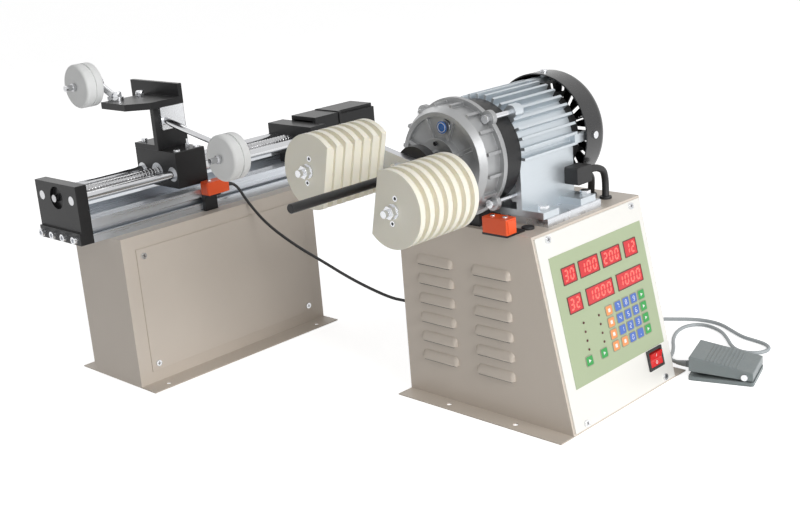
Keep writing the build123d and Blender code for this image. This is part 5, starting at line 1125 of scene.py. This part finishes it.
SENSOR_ROUTE = (
    (-0.1235, 0.442, 0.236), (-0.1155, 0.442, 0.236), (-0.1085, 0.441, 0.2325), (-0.1035, 0.4385, 0.225),
    (-0.101, 0.433, 0.2145), (-0.1, 0.421, 0.202), (-0.1002, 0.399, 0.186), (-0.1, 0.372, 0.172),
    (-0.099, 0.328, 0.155), (-0.098, 0.284, 0.1425), (-0.095, 0.24, 0.127), (-0.082, 0.209, 0.111),
    (-0.068, 0.188, 0.099), (-0.06, 0.173, 0.096), (-0.06, 0.161, 0.096),
)
PEDAL_EXIT = (
    (0.13377, -0.12627, 0.0085), (0.1308, -0.1168, 0.0085), (0.1338, -0.1056, 0.0082),
    (0.1415, -0.097, 0.0068), (0.154, -0.0905, 0.0046), (0.17, -0.0835, 0.0029),
)
PEDAL_ON_FLOOR = (
    (0.188, -0.0735), (0.206, -0.061), (0.229, -0.0505), (0.247, -0.0465), (0.262, -0.0475), (0.274, -0.0545),
    (0.279, -0.066), (0.277, -0.08), (0.268, -0.099), (0.25, -0.117), (0.23, -0.134), (0.219, -0.15),
    (0.22, -0.167), (0.23, -0.179), (0.245, -0.181), (0.257, -0.171), (0.262, -0.154), (0.265, -0.132),
    (0.279, -0.107), (0.291, -0.087), (0.295, -0.069), (0.2935, -0.052), (0.288, -0.037), (0.278, -0.02),
    (0.262, 0.006), (0.245, 0.036), (0.223, 0.07), (0.2, 0.108), (0.174, 0.144), (0.143, 0.172),
)
PEDAL_RISE = (
    (0.112, 0.19, 0.004), (0.088, 0.197, 0.011), (0.072, 0.194, 0.025), (0.064, 0.183, 0.037),
    (0.062, 0.172, 0.042), (0.062, 0.161, 0.042),
)
LYING_HEIGHT = 0.0027
SENSOR_LEAD = FreeLead(
    "sensor_lead_line", "sensor_lead", 0.002, 0.345, SENSOR_ROUTE,
    Outfit(RUBBER, "rubber_black"), "medium", 0.011, 0.0036,
)
PEDAL_LEAD = FreeLead(
    "pedal_lead_line", "pedal_lead", 0.0025, 0.879,
    PEDAL_EXIT + tuple((x, y, LYING_HEIGHT) for x, y in PEDAL_ON_FLOOR) + PEDAL_RISE,
    Outfit(GREY_LEAD, "lead_grey"), "medium", 0.014, 0.0042,
)


# -------------------------------------------------------------------- studio


@dataclass
class Studio:
    """The camera at the photograph's angle, the soft lights, the pale floor and the white surround."""

    place: Point = (-1.124679, -0.899691, 0.610926)
    azimuth: float = 45.297
    down: float = 16.858
    roll: float = -4.561
    lens: float = 55.161
    sensor: float = 36.0
    lamps: tuple[tuple[str, Point, float, float], ...] = (
        ("key_light", (-0.25, -2.3, 1.1), 1.5, 46.0),
        ("fill_light", (-2.3, -0.6, 1.3), 1.6, 2.0),
        ("rim_light", (0.6, 2.2, 2.0), 1.4, 9.0),
    )
    lamp_aim: Point = (0.0, 0.15, 0.2)
    surround_light: float = 0.30
    floor_glow: float = 0.70
    floor_size: float = 9.0
    floor_z: float = -0.0002

    def build(self) -> None:
        """Set up the whole studio."""
        self._camera()
        for lamp in self.lamps:
            self._lamp(*lamp)
        self._world()
        self._floor()
        bpy.context.scene.view_settings.view_transform = "Standard"

    def _camera(self) -> None:
        """Place the camera."""
        turn, drop, roll = (math.radians(a) for a in (self.azimuth, self.down, self.roll))
        ahead = Vector((math.cos(turn) * math.cos(drop), math.sin(turn) * math.cos(drop), -math.sin(drop)))
        right = Vector((math.sin(turn), -math.cos(turn), 0.0))
        up = right.cross(ahead)
        side = math.cos(roll) * right + math.sin(roll) * up
        top = -math.sin(roll) * right + math.cos(roll) * up
        data = bpy.data.cameras.new("photo_camera")
        data.lens, data.sensor_width, data.sensor_fit = self.lens, self.sensor, "HORIZONTAL"
        camera = bpy.data.objects.new("photo_camera", data)
        bpy.context.scene.collection.objects.link(camera)
        aim = Matrix((side, top, -ahead)).transposed().to_4x4()
        camera.matrix_world = Matrix.Translation(self.place) @ aim
        bpy.context.scene.camera = camera

    def _lamp(self, name: str, place: Point, size: float, power: float) -> None:
        """Hang one soft lamp that shines on the machine.

        Args:
            name: the lamp's name.
            place: where it hangs, in metres.
            size: the side of its square face.
            power: its power in watts.
        """
        data = bpy.data.lights.new(name, "AREA")
        data.shape, data.size, data.energy = "SQUARE", size, power
        lamp = bpy.data.objects.new(name, data)
        lamp.location = place
        lamp.rotation_euler = (Vector(self.lamp_aim) - Vector(place)).to_track_quat("-Z", "Y").to_euler()
        bpy.context.scene.collection.objects.link(lamp)

    def _seen(self, tree: Tree) -> Socket:
        """Whether the camera, a mirror or a window sees the surface.

        Args:
            tree: the surface's tree.

        Returns:
            The answer's socket, 0 or 1.
        """
        path = tree.add("ShaderNodeLightPath")
        either = tree.math("MAXIMUM", path.outputs["Is Camera Ray"], path.outputs["Is Glossy Ray"])
        return tree.math("MAXIMUM", either, path.outputs["Is Transmission Ray"])

    def _world(self) -> None:
        """A soft white surround, pure white where it is seen."""
        world = bpy.data.worlds.new("white_surround")
        tree = Tree.of(world)
        strength = tree.mix(self._seen(tree), self.surround_light, 1.0)
        glow = tree.add("ShaderNodeBackground", {"Color": (1.0, 1.0, 1.0, 1.0), "Strength": strength})
        tree.add("ShaderNodeOutputWorld", {"Surface": glow.outputs[0]})
        bpy.context.scene.world = world

    def _floor(self) -> None:
        """A pale floor that keeps the machine's shadow."""
        material = bpy.data.materials.new("pale_floor")
        tree = Tree.of(material)
        grain = tree.add("ShaderNodeTexNoise", {"Scale": 60.0}).outputs["Fac"]
        shader = tree.add("ShaderNodeBsdfPrincipled", {
            "Base Color": tree.mix(grain, (0.86, 0.86, 0.86, 1.0), (0.90, 0.90, 0.90, 1.0), colour=True),
            "Roughness": 0.9, "Specular IOR Level": 0.1, "Emission Color": (1.0, 1.0, 1.0, 1.0),
            "Emission Strength": tree.math("MULTIPLY", self._seen(tree), self.floor_glow),
        })
        tree.add("ShaderNodeOutputMaterial", {"Surface": shader.outputs[0]})
        bm = bmesh.new()
        bmesh.ops.create_grid(bm, x_segments=8, y_segments=8, size=self.floor_size)
        for vertex in bm.verts:
            vertex.co.z = self.floor_z
        mesh = bpy.data.meshes.new("pale_floor")
        bm.to_mesh(mesh)
        bm.free()
        floor = bpy.data.objects.new("pale_floor", mesh)
        mesh.materials.append(material)
        bpy.context.scene.collection.objects.link(floor)


# ------------------------------------------------------------ sub-assemblies


@dataclass
class SubAssembly:
    """Some CAD nodes in their finishes, with fine parts over them."""

    stamps: StampTree
    wears: ClassVar[tuple[tuple[Finish, str], ...]] = ()

    def build(self) -> None:
        """Dress the nodes and make the fine parts."""
        for finish, nodes in self.wears:
            dress(finish, *nodes.split())
        self._fine_parts()

    def _fine_parts(self) -> None:
        """Make the fine parts; a plain sub-assembly has none."""


class KeyColour(Enum):
    """The keys' colours, each with its finish."""

    BLUE = KEY_BLUE
    GREEN = KEY_GREEN
    ORANGE = KEY_ORANGE


SEGMENTS = {
    "0": "abcdef", "1": "bc", "2": "abged", "3": "abgcd", "4": "fgbc",
    "5": "afgcd", "6": "afgedc", "7": "abc", "8": "abcdefg", "9": "abcdfg",
}
SEGMENT_ENDS = {
    "a": ((-1, 1), (1, 1)), "b": ((1, 1), (1, 0)), "c": ((1, 0), (1, -1)), "d": ((-1, -1), (1, -1)),
    "e": ((-1, 0), (-1, -1)), "f": ((-1, 1), (-1, 0)), "g": ((-1, 0), (1, 0)),
}


def add_digit(
    bm: Mesh, digit: str, middle: Pair, size: Pair, stroke: float, lean: float, levels: Pair,
) -> None:
    """Add one seven-segment digit on the control panel.

    Args:
        bm: the mesh that it goes into.
        digit: the digit.
        middle: its middle on the panel, in millimetres.
        size: its width and height.
        stroke: the segments' width.
        lean: how far its top leans to the right.
        levels: its lower and its upper face over the panel plane.
    """
    wide, tall = size[0] / 2, size[1] / 2
    for segment in SEGMENTS[digit]:
        start, end = (Vector((x * wide, y * tall)) for x, y in SEGMENT_ENDS[segment])
        along = (end - start).normalized()
        across = Vector((-along.y, along.x)) * stroke / 2
        tip = along * stroke / 2
        start, end = start + along * stroke * 0.2, end - along * stroke * 0.2
        lower = [start, start + tip - across, end - tip - across]
        shape = lower + [end, end - tip + across, start + tip + across]
        outline = [(middle[0] + p.x + lean * p.y / tall, middle[1] + p.y) for p in shape]
        add_slab(bm, outline, levels, PANEL_FACE)


@dataclass
class ControlFace(SubAssembly):
    """The sloping operator's face: foil label, keys, lamps, lit displays and the mains rocker."""

    windows: tuple[tuple[float, float, float, str], ...] = (
        (-57.8, 178.5, 24.5, "30"), (-19.8, 178.5, 36.5, "100"), (24.7, 178.5, 36.5, "200"),
        (64.7, 178.5, 24.5, "12"), (-57.8, 144.5, 24.5, "32"), (-9.0, 144.5, 51.0, "1000"),
        (51.7, 144.5, 51.0, "1000"),
    )
    window_height: float = 19.0
    window_face: float = 2.8
    window_border: float = 3.0
    digit_height: float = 11.6
    digit_share: float = 0.52
    digit_stroke: float = 1.9
    digit_lean: float = 0.6
    rim_reach: float = 1.6
    rim_lap: float = 0.6
    foil_inside: float = 2.4
    key_face: float = 3.0
    key_rise: float = 0.35
    key_size: Pair = (13.0, 12.0)
    key_surround: float = 0.7
    key_gap: float = 1.1
    key_rows: tuple[float, ...] = (119.0, 104.4, 89.9, 75.4)
    key_columns: tuple[float, ...] = (-0.4, 17.8, 34.2, 50.6, 67.0)
    key_digits: tuple[str, ...] = (" 789 ", " 456 ", " 123 ", "  0  ")
    mark_size: Pair = (3.0, 5.2)
    mark_stroke: float = 0.9
    side_keys: tuple[Pair, ...] = ((-54.0, 74.4), (-25.0, 74.4))
    lamp_columns: tuple[float, ...] = (-50.5, -20.6)
    lamp_rows: int = 4
    lamp_pitch: float = 10.7
    lamp_foot: float = 2.9
    rocker_axis: Point = (69.5, -121.256, 36.404)
    rocker_tilt: float = 9.0
    rocker_face: float = 2.0
    rocker_half: float = 8.6
    rocker_dish: float = 1.5
    mark_reach: float = 4.6

    wears: ClassVar[tuple[tuple[Finish, str], ...]] = (
        (PANEL_PAINT, "control_panel"), (LABEL, "keypad_overlay"), (LED_WINDOW, "led_displays"),
        (BOARD, "control_board"), (BLACK_PLASTIC, "power_switch_housing"),
        (RED_PLASTIC, "power_switch_rocker"),
    )

    def _displays(self) -> None:
        """Lit digits and dark rims on the display windows."""
        digits, rims = bmesh.new(), bmesh.new()
        face, tall, lean = self.window_face, self.window_height, self.digit_lean
        lit = (face - 0.1, face + 0.12)
        for x, t, width, text in self.windows:
            pitch = (width - self.window_border) / len(text)
            size = (pitch * self.digit_share, self.digit_height)
            for k, digit in enumerate(text):
                middle = (x + (k - (len(text) - 1) / 2) * pitch, t)
                add_digit(digits, digit, middle, size, self.digit_stroke, lean, lit)
            outer = rounded_box((x, t), (width + self.rim_reach, tall + self.rim_reach), 0.8)
            inner = rounded_box((x, t), (width - self.rim_lap, tall - self.rim_lap), 0.3)
            add_frame(rims, outer, inner, (self.foil_inside, face + 0.35), PANEL_FACE)
        finished("display_digits", digits, Outfit(LED_DIGIT, "led_red"))
        finished("display_rims", rims, Outfit(LED_RIM, "black_plastic"))

    def _key_places(self) -> list[tuple[float, float, KeyColour, str]]:
        """Middle, colour and digit of each key."""
        places = []
        for row, (t, digits) in enumerate(zip(self.key_rows, self.key_digits)):
            for column, (x, digit) in enumerate(zip(self.key_columns, digits)):
                colour = KeyColour.BLUE
                if column == 0 or (row, column) == (3, 1):
                    colour = KeyColour.ORANGE
                elif column == 4:
                    colour = KeyColour.GREEN
                places.append((x, t, colour, digit.strip()))
        return places + [(x, t, KeyColour.GREEN, "") for x, t in self.side_keys]

    def _keys(self) -> None:
        """Coloured key caps with a dark surround and generic marks."""
        caps = {colour: bmesh.new() for colour in KeyColour}
        surrounds, marks = bmesh.new(), bmesh.new()
        width, height = self.key_size
        top = self.key_face + self.key_rise
        mark_levels = (top - 0.1, top + 0.06)
        for x, t, colour, digit in self._key_places():
            outer = rounded_box((x, t), (width + self.key_surround, height + self.key_surround), 2.2)
            inner = rounded_box((x, t), (width - self.key_gap, height - self.key_gap), 1.6)
            add_frame(surrounds, outer, inner, (self.foil_inside, self.key_face + 0.12), PANEL_FACE)
            add_slab(caps[colour], inner, (self.key_face - 0.2, top), PANEL_FACE, 0.3)
            if digit:
                add_digit(marks, digit, (x, t), self.mark_size, self.mark_stroke, 0.0, mark_levels)
                continue
            mark = {
                KeyColour.GREEN: [(x - 1.8, t - 2.2), (x + 2.6, t), (x - 1.8, t + 2.2)],
                KeyColour.ORANGE: rounded_box((x, t), (4.4, 4.4), 0.4, 2),
                KeyColour.BLUE: rounded_box((x, t - 2.0), (1.2, 1.2), 0.3, 2),
            }[colour]
            add_slab(marks, mark, mark_levels, PANEL_FACE)
        for colour, mesh in caps.items():
            finished(f"keys_{colour.name.lower()}", mesh, Outfit(colour.value, "label"))
        finished("key_surrounds", surrounds, Outfit(KEY_EDGE, "label"))
        finished("key_marks", marks, Outfit(KEY_MARK, "label"))

    def _lamps(self) -> None:
        """The small domed lamps beside the keys."""
        dome = bmesh.new()
        add_turned(dome, [(-0.2, 1.5), (0.3, 1.5), (0.7, 1.15), (0.9, 0.5)], FROM_MM, 16)
        places = [
            panel_spot(x, self.key_rows[0] - row * self.lamp_pitch, self.lamp_foot)
            for x in self.lamp_columns for row in range(self.lamp_rows)
        ]
        self.stamps.stamp("signal_lamps", dome, places, Outfit(LED_RIM, "led_red"))

    def _rocker_marks(self) -> None:
        """The generic on and off marks of the mains rocker."""
        turn, lean = math.radians(self.rocker_tilt), math.atan2(self.rocker_dish, self.rocker_half)
        slope, front = Vector(PANEL_SLOPE), Vector(PANEL_OUT)
        up = math.cos(turn) * slope + math.sin(turn) * front
        face = math.cos(turn) * front - math.sin(turn) * slope
        height = self.rocker_face + self.rocker_dish * self.mark_reach / self.rocker_half
        marks, levels = bmesh.new(), (-0.1, 0.08)
        for side in (1, -1):
            along = math.cos(lean) * up + side * math.sin(lean) * face
            out = math.cos(lean) * face - side * math.sin(lean) * up
            spot = Vector(self.rocker_axis) + side * self.mark_reach * up + height * face
            place = placement(tuple(spot), (1, 0, 0), tuple(along), tuple(out))
            if side > 0:
                add_slab(marks, [(-0.4, -1.9), (0.4, -1.9), (0.4, 1.9), (-0.4, 1.9)], levels, place)
            else:
                add_frame(marks, circle(2.0, 24), circle(1.3, 24), levels, place)
        finished("rocker_marks", marks, Outfit(KEY_MARK, "red_plastic", "rocker"))

    def _fine_parts(self) -> None:
        """Make the displays, keys, lamps and marks."""
        self._displays()
        self._keys()
        self._lamps()
        self._rocker_marks()


@dataclass
class Cabinets(SubAssembly):
    """The head's cabinet and the stand's, with their screws, louvres and rear fittings."""

    panel_screws: tuple[Pair, ...] = ((-82.0, 8.5), (82.0, 8.5), (-82.0, 225.7), (82.0, 225.7))
    side_screws: tuple[Point, ...] = (
        (-279.5, 425.6, 27.0), (-10.5, 425.6, 27.0), (-279.5, 425.6, 177.0), (-10.5, 425.6, 177.0),
    )
    head_top: float = 4.4
    louvre_columns: tuple[float, ...] = (71.0, -17.0)
    louvre_wall: float = -106.0
    louvre_first: float = 50.0
    louvre_pitch: float = 24.8
    louvre_rows: int = 6
    hood_levels: tuple[Point, ...] = (
        (-0.2, 11.2, 29.0), (1.2, 10.4, 28.8), (2.6, 8.8, 28.3),
        (3.8, 6.6, 27.5), (4.7, 4.2, 26.6), (5.1, 2.4, 25.8),
    )
    hood_bend: float = 6.0
    bend_steps: int = 6

    wears: ClassVar[tuple[tuple[Finish, str], ...]] = (
        (CABINET_PAINT, "head_cabinet stand_cabinet stand_side_panel"),
        (ZINC, "head_base_plate power_supply"),
        (SCREW_STEEL, "housing_screws"), (BLACK_PLASTIC, "rear_connectors"),
    )

    def _hood(self) -> Mesh:
        """One pressed louvre with rounded ends, in metres; its own x is up and its z is out."""
        bm = bmesh.new()
        quarter = [math.pi / 2 * k / self.bend_steps for k in range(self.bend_steps + 1)]
        rings = []
        for out, top, half in self.hood_levels:
            bend = min(0.8 * top, self.hood_bend)
            outline = [(-0.3, half), (-0.3, -half)]
            outline += [(top - bend + bend * math.sin(a), bend - half - bend * math.cos(a)) for a in quarter]
            outline += [(top - bend + bend * math.cos(a), half - bend + bend * math.sin(a)) for a in quarter]
            rings.append([bm.verts.new((x * MM, y * MM, out * MM)) for x, y in outline])
        bridge(bm, rings)
        return bm

    def _fine_parts(self) -> None:
        """Mark the screws' slots with painted shade, and lay hoods over the louvres with a dark strip of
        painted shade under each, where the opening's shadow falls.
        """
        places = [panel_spot(x, t, self.head_top) for x, t in self.panel_screws]
        places += [(place, (0.0, -1.0, 0.0)) for place in self.side_screws]
        # The screws' cross slots are thin inlays of painted shade.
        dark = Outfit(RECESS_SHADE, "screw_steel")
        self.stamps.stamp("cabinet_screw_slots", cross_slot_shade(2.4, 0.9), places, dark)
        heights = [self.louvre_first + row * self.louvre_pitch for row in range(self.louvre_rows)]
        louvres = [((self.louvre_wall, y, z), (-1.0, 0.0, 0.0)) for y in self.louvre_columns for z in heights]
        painted, shaded = (Outfit(finish, "head_paint") for finish in (CABINET_PAINT, RECESS_SHADE))
        self.stamps.stamp("louvre_hoods", self._hood(), louvres, painted, spread=0.0)
        # A thin dark strip of painted shade under each hood stands for the shadow of the louvre's opening.
        mouth_shade = bmesh.new()
        add_slab(mouth_shade, [(-1.7, -25.0), (-0.2, -25.0), (-0.2, 25.0), (-1.7, 25.0)], (-0.2, 3.4), FROM_MM)
        self.stamps.stamp("louvre_mouths", mouth_shade, louvres, shaded, spread=0.0)


@dataclass
class Motor(SubAssembly):
    """The finned motor on its plate: housing, ring, cast cover, cowl, leads and fasteners."""

    axis_y: float = 20.5
    axis_z: float = 311.5
    hub_face: float = -143.5
    hub_screw_reach: float = 23.0
    hub_screws: int = 6
    badge_turn: float = 101.0
    badge_reach: float = 42.0
    badge_face: float = -141.1
    badge_sides: int = 32

    wears: ClassVar[tuple[tuple[Finish, str], ...]] = (
        (ZINC, "motor_base_plate"), (SCREW_STEEL, "motor_fasteners"), (MOTOR_ALUMINIUM, "motor_housing"),
        (BLACK_CAST, "gear_ring rear_end_shield"), (CAST_ALUMINIUM, "gearbox_cover"), (COPPER, "stator"),
        (STEEL, "motor_bearings rotor planet_gear_1 planet_gear_2 planet_gear_3"), (SATIN_BLACK, "fan_cowl"),
        (BLACK_PLASTIC, "cooling_fan"), (RUBBER, "motor_leads cable_grommets"),
    )

    def _round_axis(self, x: float, reach: float, turn: float) -> Point:
        """A place beside the motor's axis.

        Args:
            x: its x in millimetres.
            reach: how far it is from the axis.
            turn: its angle from Y towards Z, in radians.

        Returns:
            The place.
        """
        return x, self.axis_y + reach * math.cos(turn), self.axis_z + reach * math.sin(turn)

    def _fine_parts(self) -> None:
        """Cap screws round the gearbox hub, and the plain round badge on the cover, bare of any sign."""
        turns = [2 * math.pi * (k + 0.5) / self.hub_screws for k in range(self.hub_screws)]
        spots = [self._round_axis(self.hub_face, self.hub_screw_reach, turn) for turn in turns]
        places = [(spot, (-1.0, 0.0, 0.0)) for spot in spots]
        black = Outfit(BLACK_METAL, "black_metal")
        self.stamps.stamp("hub_screws", socket_head(2.6, 2.4, 1.5), places, black)
        spot = self._round_axis(self.badge_face, self.badge_reach, math.radians(self.badge_turn))
        place = placement(spot, (0, 0, 1), (0, -1, 0), (-1, 0, 0))
        disc, rim = bmesh.new(), bmesh.new()
        add_turned(disc, [(-0.2, 7.0), (0.3, 7.0), (0.5, 6.6)], place, self.badge_sides)
        add_frame(rim, circle(5.6, self.badge_sides), circle(4.9, self.badge_sides), (0.3, 0.62), place)
        finished("cover_badge", disc, Outfit(BADGE_BLUE, "cast_alu"))
        finished("cover_badge_ring", rim, Outfit(KEY_MARK, "cast_alu"))


@dataclass
class WindingArm(SubAssembly):
    """The spindle, its cross arm, the mandrel rod and the two ribbed coil formers."""

    wears: ClassVar[tuple[tuple[Finish, str], ...]] = (
        (BLACK_METAL, "spindle mandrel_rod"), (STEEL, "cross_arm"),
        (SCREW_STEEL, "arm_screws rear_former_bolt front_former_bolt"), (NYLON, "rear_former front_former"),
    )


@dataclass
class WireStage(SubAssembly):
    """The wire guide's stage on the stand: profile, rods, ball screw, carriage, arms and rollers."""

    screw_y: float = 499.5
    screw_z: float = 262.8
    screw_start: float = -333.0
    screw_end: float = 48.0
    journal_radius: float = 5.0
    collar_radius: float = 7.9
    thread_root: float = 6.2
    thread_ridge: float = 0.75
    thread_pitch: float = 5.0
    thread_inset: float = 7.0
    sensor_screws: tuple[Point, ...] = (
        (-111.5, -47.0, 249.5), (-111.5, -29.0, 249.5), (-150.5, 442.0, 246.8), (-132.5, 442.0, 246.8),
    )
    screw_head: Pair = (2.9, 1.7)

    wears: ClassVar[tuple[tuple[Finish, str], ...]] = (
        (STAGE_ALUMINIUM, "stage_profile"), (CHROMED, "guide_rods roller_shafts"),
        (BLACK_METAL, "bearing_blocks stepper_motor carriage guide_post guide_arm sensor_brackets"),
        (MOTOR_ALUMINIUM, "shaft_coupling"), (STEEL, "carriage_bearings"), (SCREW_STEEL, "arm_fasteners"),
        (WHITE_NYLON, "rear_guide_roller front_guide_roller"), (ORANGE_PLASTIC, "proximity_sensors"),
    )

    def _ball_screw(self) -> None:
        """The ball screw with its rolled thread, in place of the plain CAD shaft."""
        first, last = (corner[0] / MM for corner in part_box("ball_screw"))
        start, end, journal, root = self.screw_start, self.screw_end, self.journal_radius, self.thread_root
        core = bmesh.new()
        place = placement((0, self.screw_y, self.screw_z), (0, 1, 0), (0, 0, 1), (1, 0, 0))
        add_turned(core, [
            (first, journal - 0.4), (first + 0.4, journal), (start - 8.0, journal),
            (start - 8.0, self.collar_radius), (start, self.collar_radius), (start, journal),
            (start + 3.0, journal), (start + 4.0, root),
            (end - 4.0, root), (end - 3.0, journal), (last - 0.4, journal), (last, journal - 0.4),
        ], place, 28)
        run = end - start - 2 * self.thread_inset
        values = {
            "Start": ((start + self.thread_inset) * MM, self.screw_y * MM, self.screw_z * MM),
            "Length": run * MM, "Turns": run / self.thread_pitch, "Radius": (root + 0.02) * MM,
            "Ridge": self.thread_ridge * MM,
        }
        greased = Outfit(GREASED_SCREW, "ground_steel", "lead_screw")
        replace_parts(ThreadTree().wind("ball_screw_thread", core, values, greased), "ball_screw")

    def _fine_parts(self) -> None:
        """Make the ball screw and the pan-head screws that hold the two sensors down."""
        self._ball_screw()
        up, (_, head_height) = (0.0, 0.0, 1.0), self.screw_head
        feet = [(place, up) for place in self.sensor_screws]
        tops = [((x, y, z + head_height), up) for x, y, z in self.sensor_screws]
        # The slots on the pan heads are thin inlays of painted shade.
        bright, dark = (Outfit(finish, "screw_steel") for finish in (SCREW_STEEL, RECESS_SHADE))
        self.stamps.stamp("sensor_screws", pan_head(*self.screw_head), feet, bright)
        self.stamps.stamp("sensor_screw_slots", cross_slot_shade(1.5, 0.6), tops, dark)


@dataclass
class FootSwitch(SubAssembly):
    """The foot switch and its treadle."""

    wears: ClassVar[tuple[tuple[Finish, str], ...]] = (
        (PEDAL_ENAMEL, "pedal_base pedal_treadle"), (STEEL, "pedal_spring"), (SCREW_STEEL, "pedal_pin"),
    )


def main() -> None:
    """Build the studio, the leads and every sub-assembly in order."""
    logging.basicConfig(level=logging.INFO, format="%(message)s")
    Studio().build()
    for lead in (SENSOR_LEAD, PEDAL_LEAD):
        lead.build()
    stamps = StampTree()
    for assembly in (ControlFace, Cabinets, Motor, WindingArm, WireStage, FootSwitch):
        assembly(stamps).build()


if __name__ == "__main__":
    main()
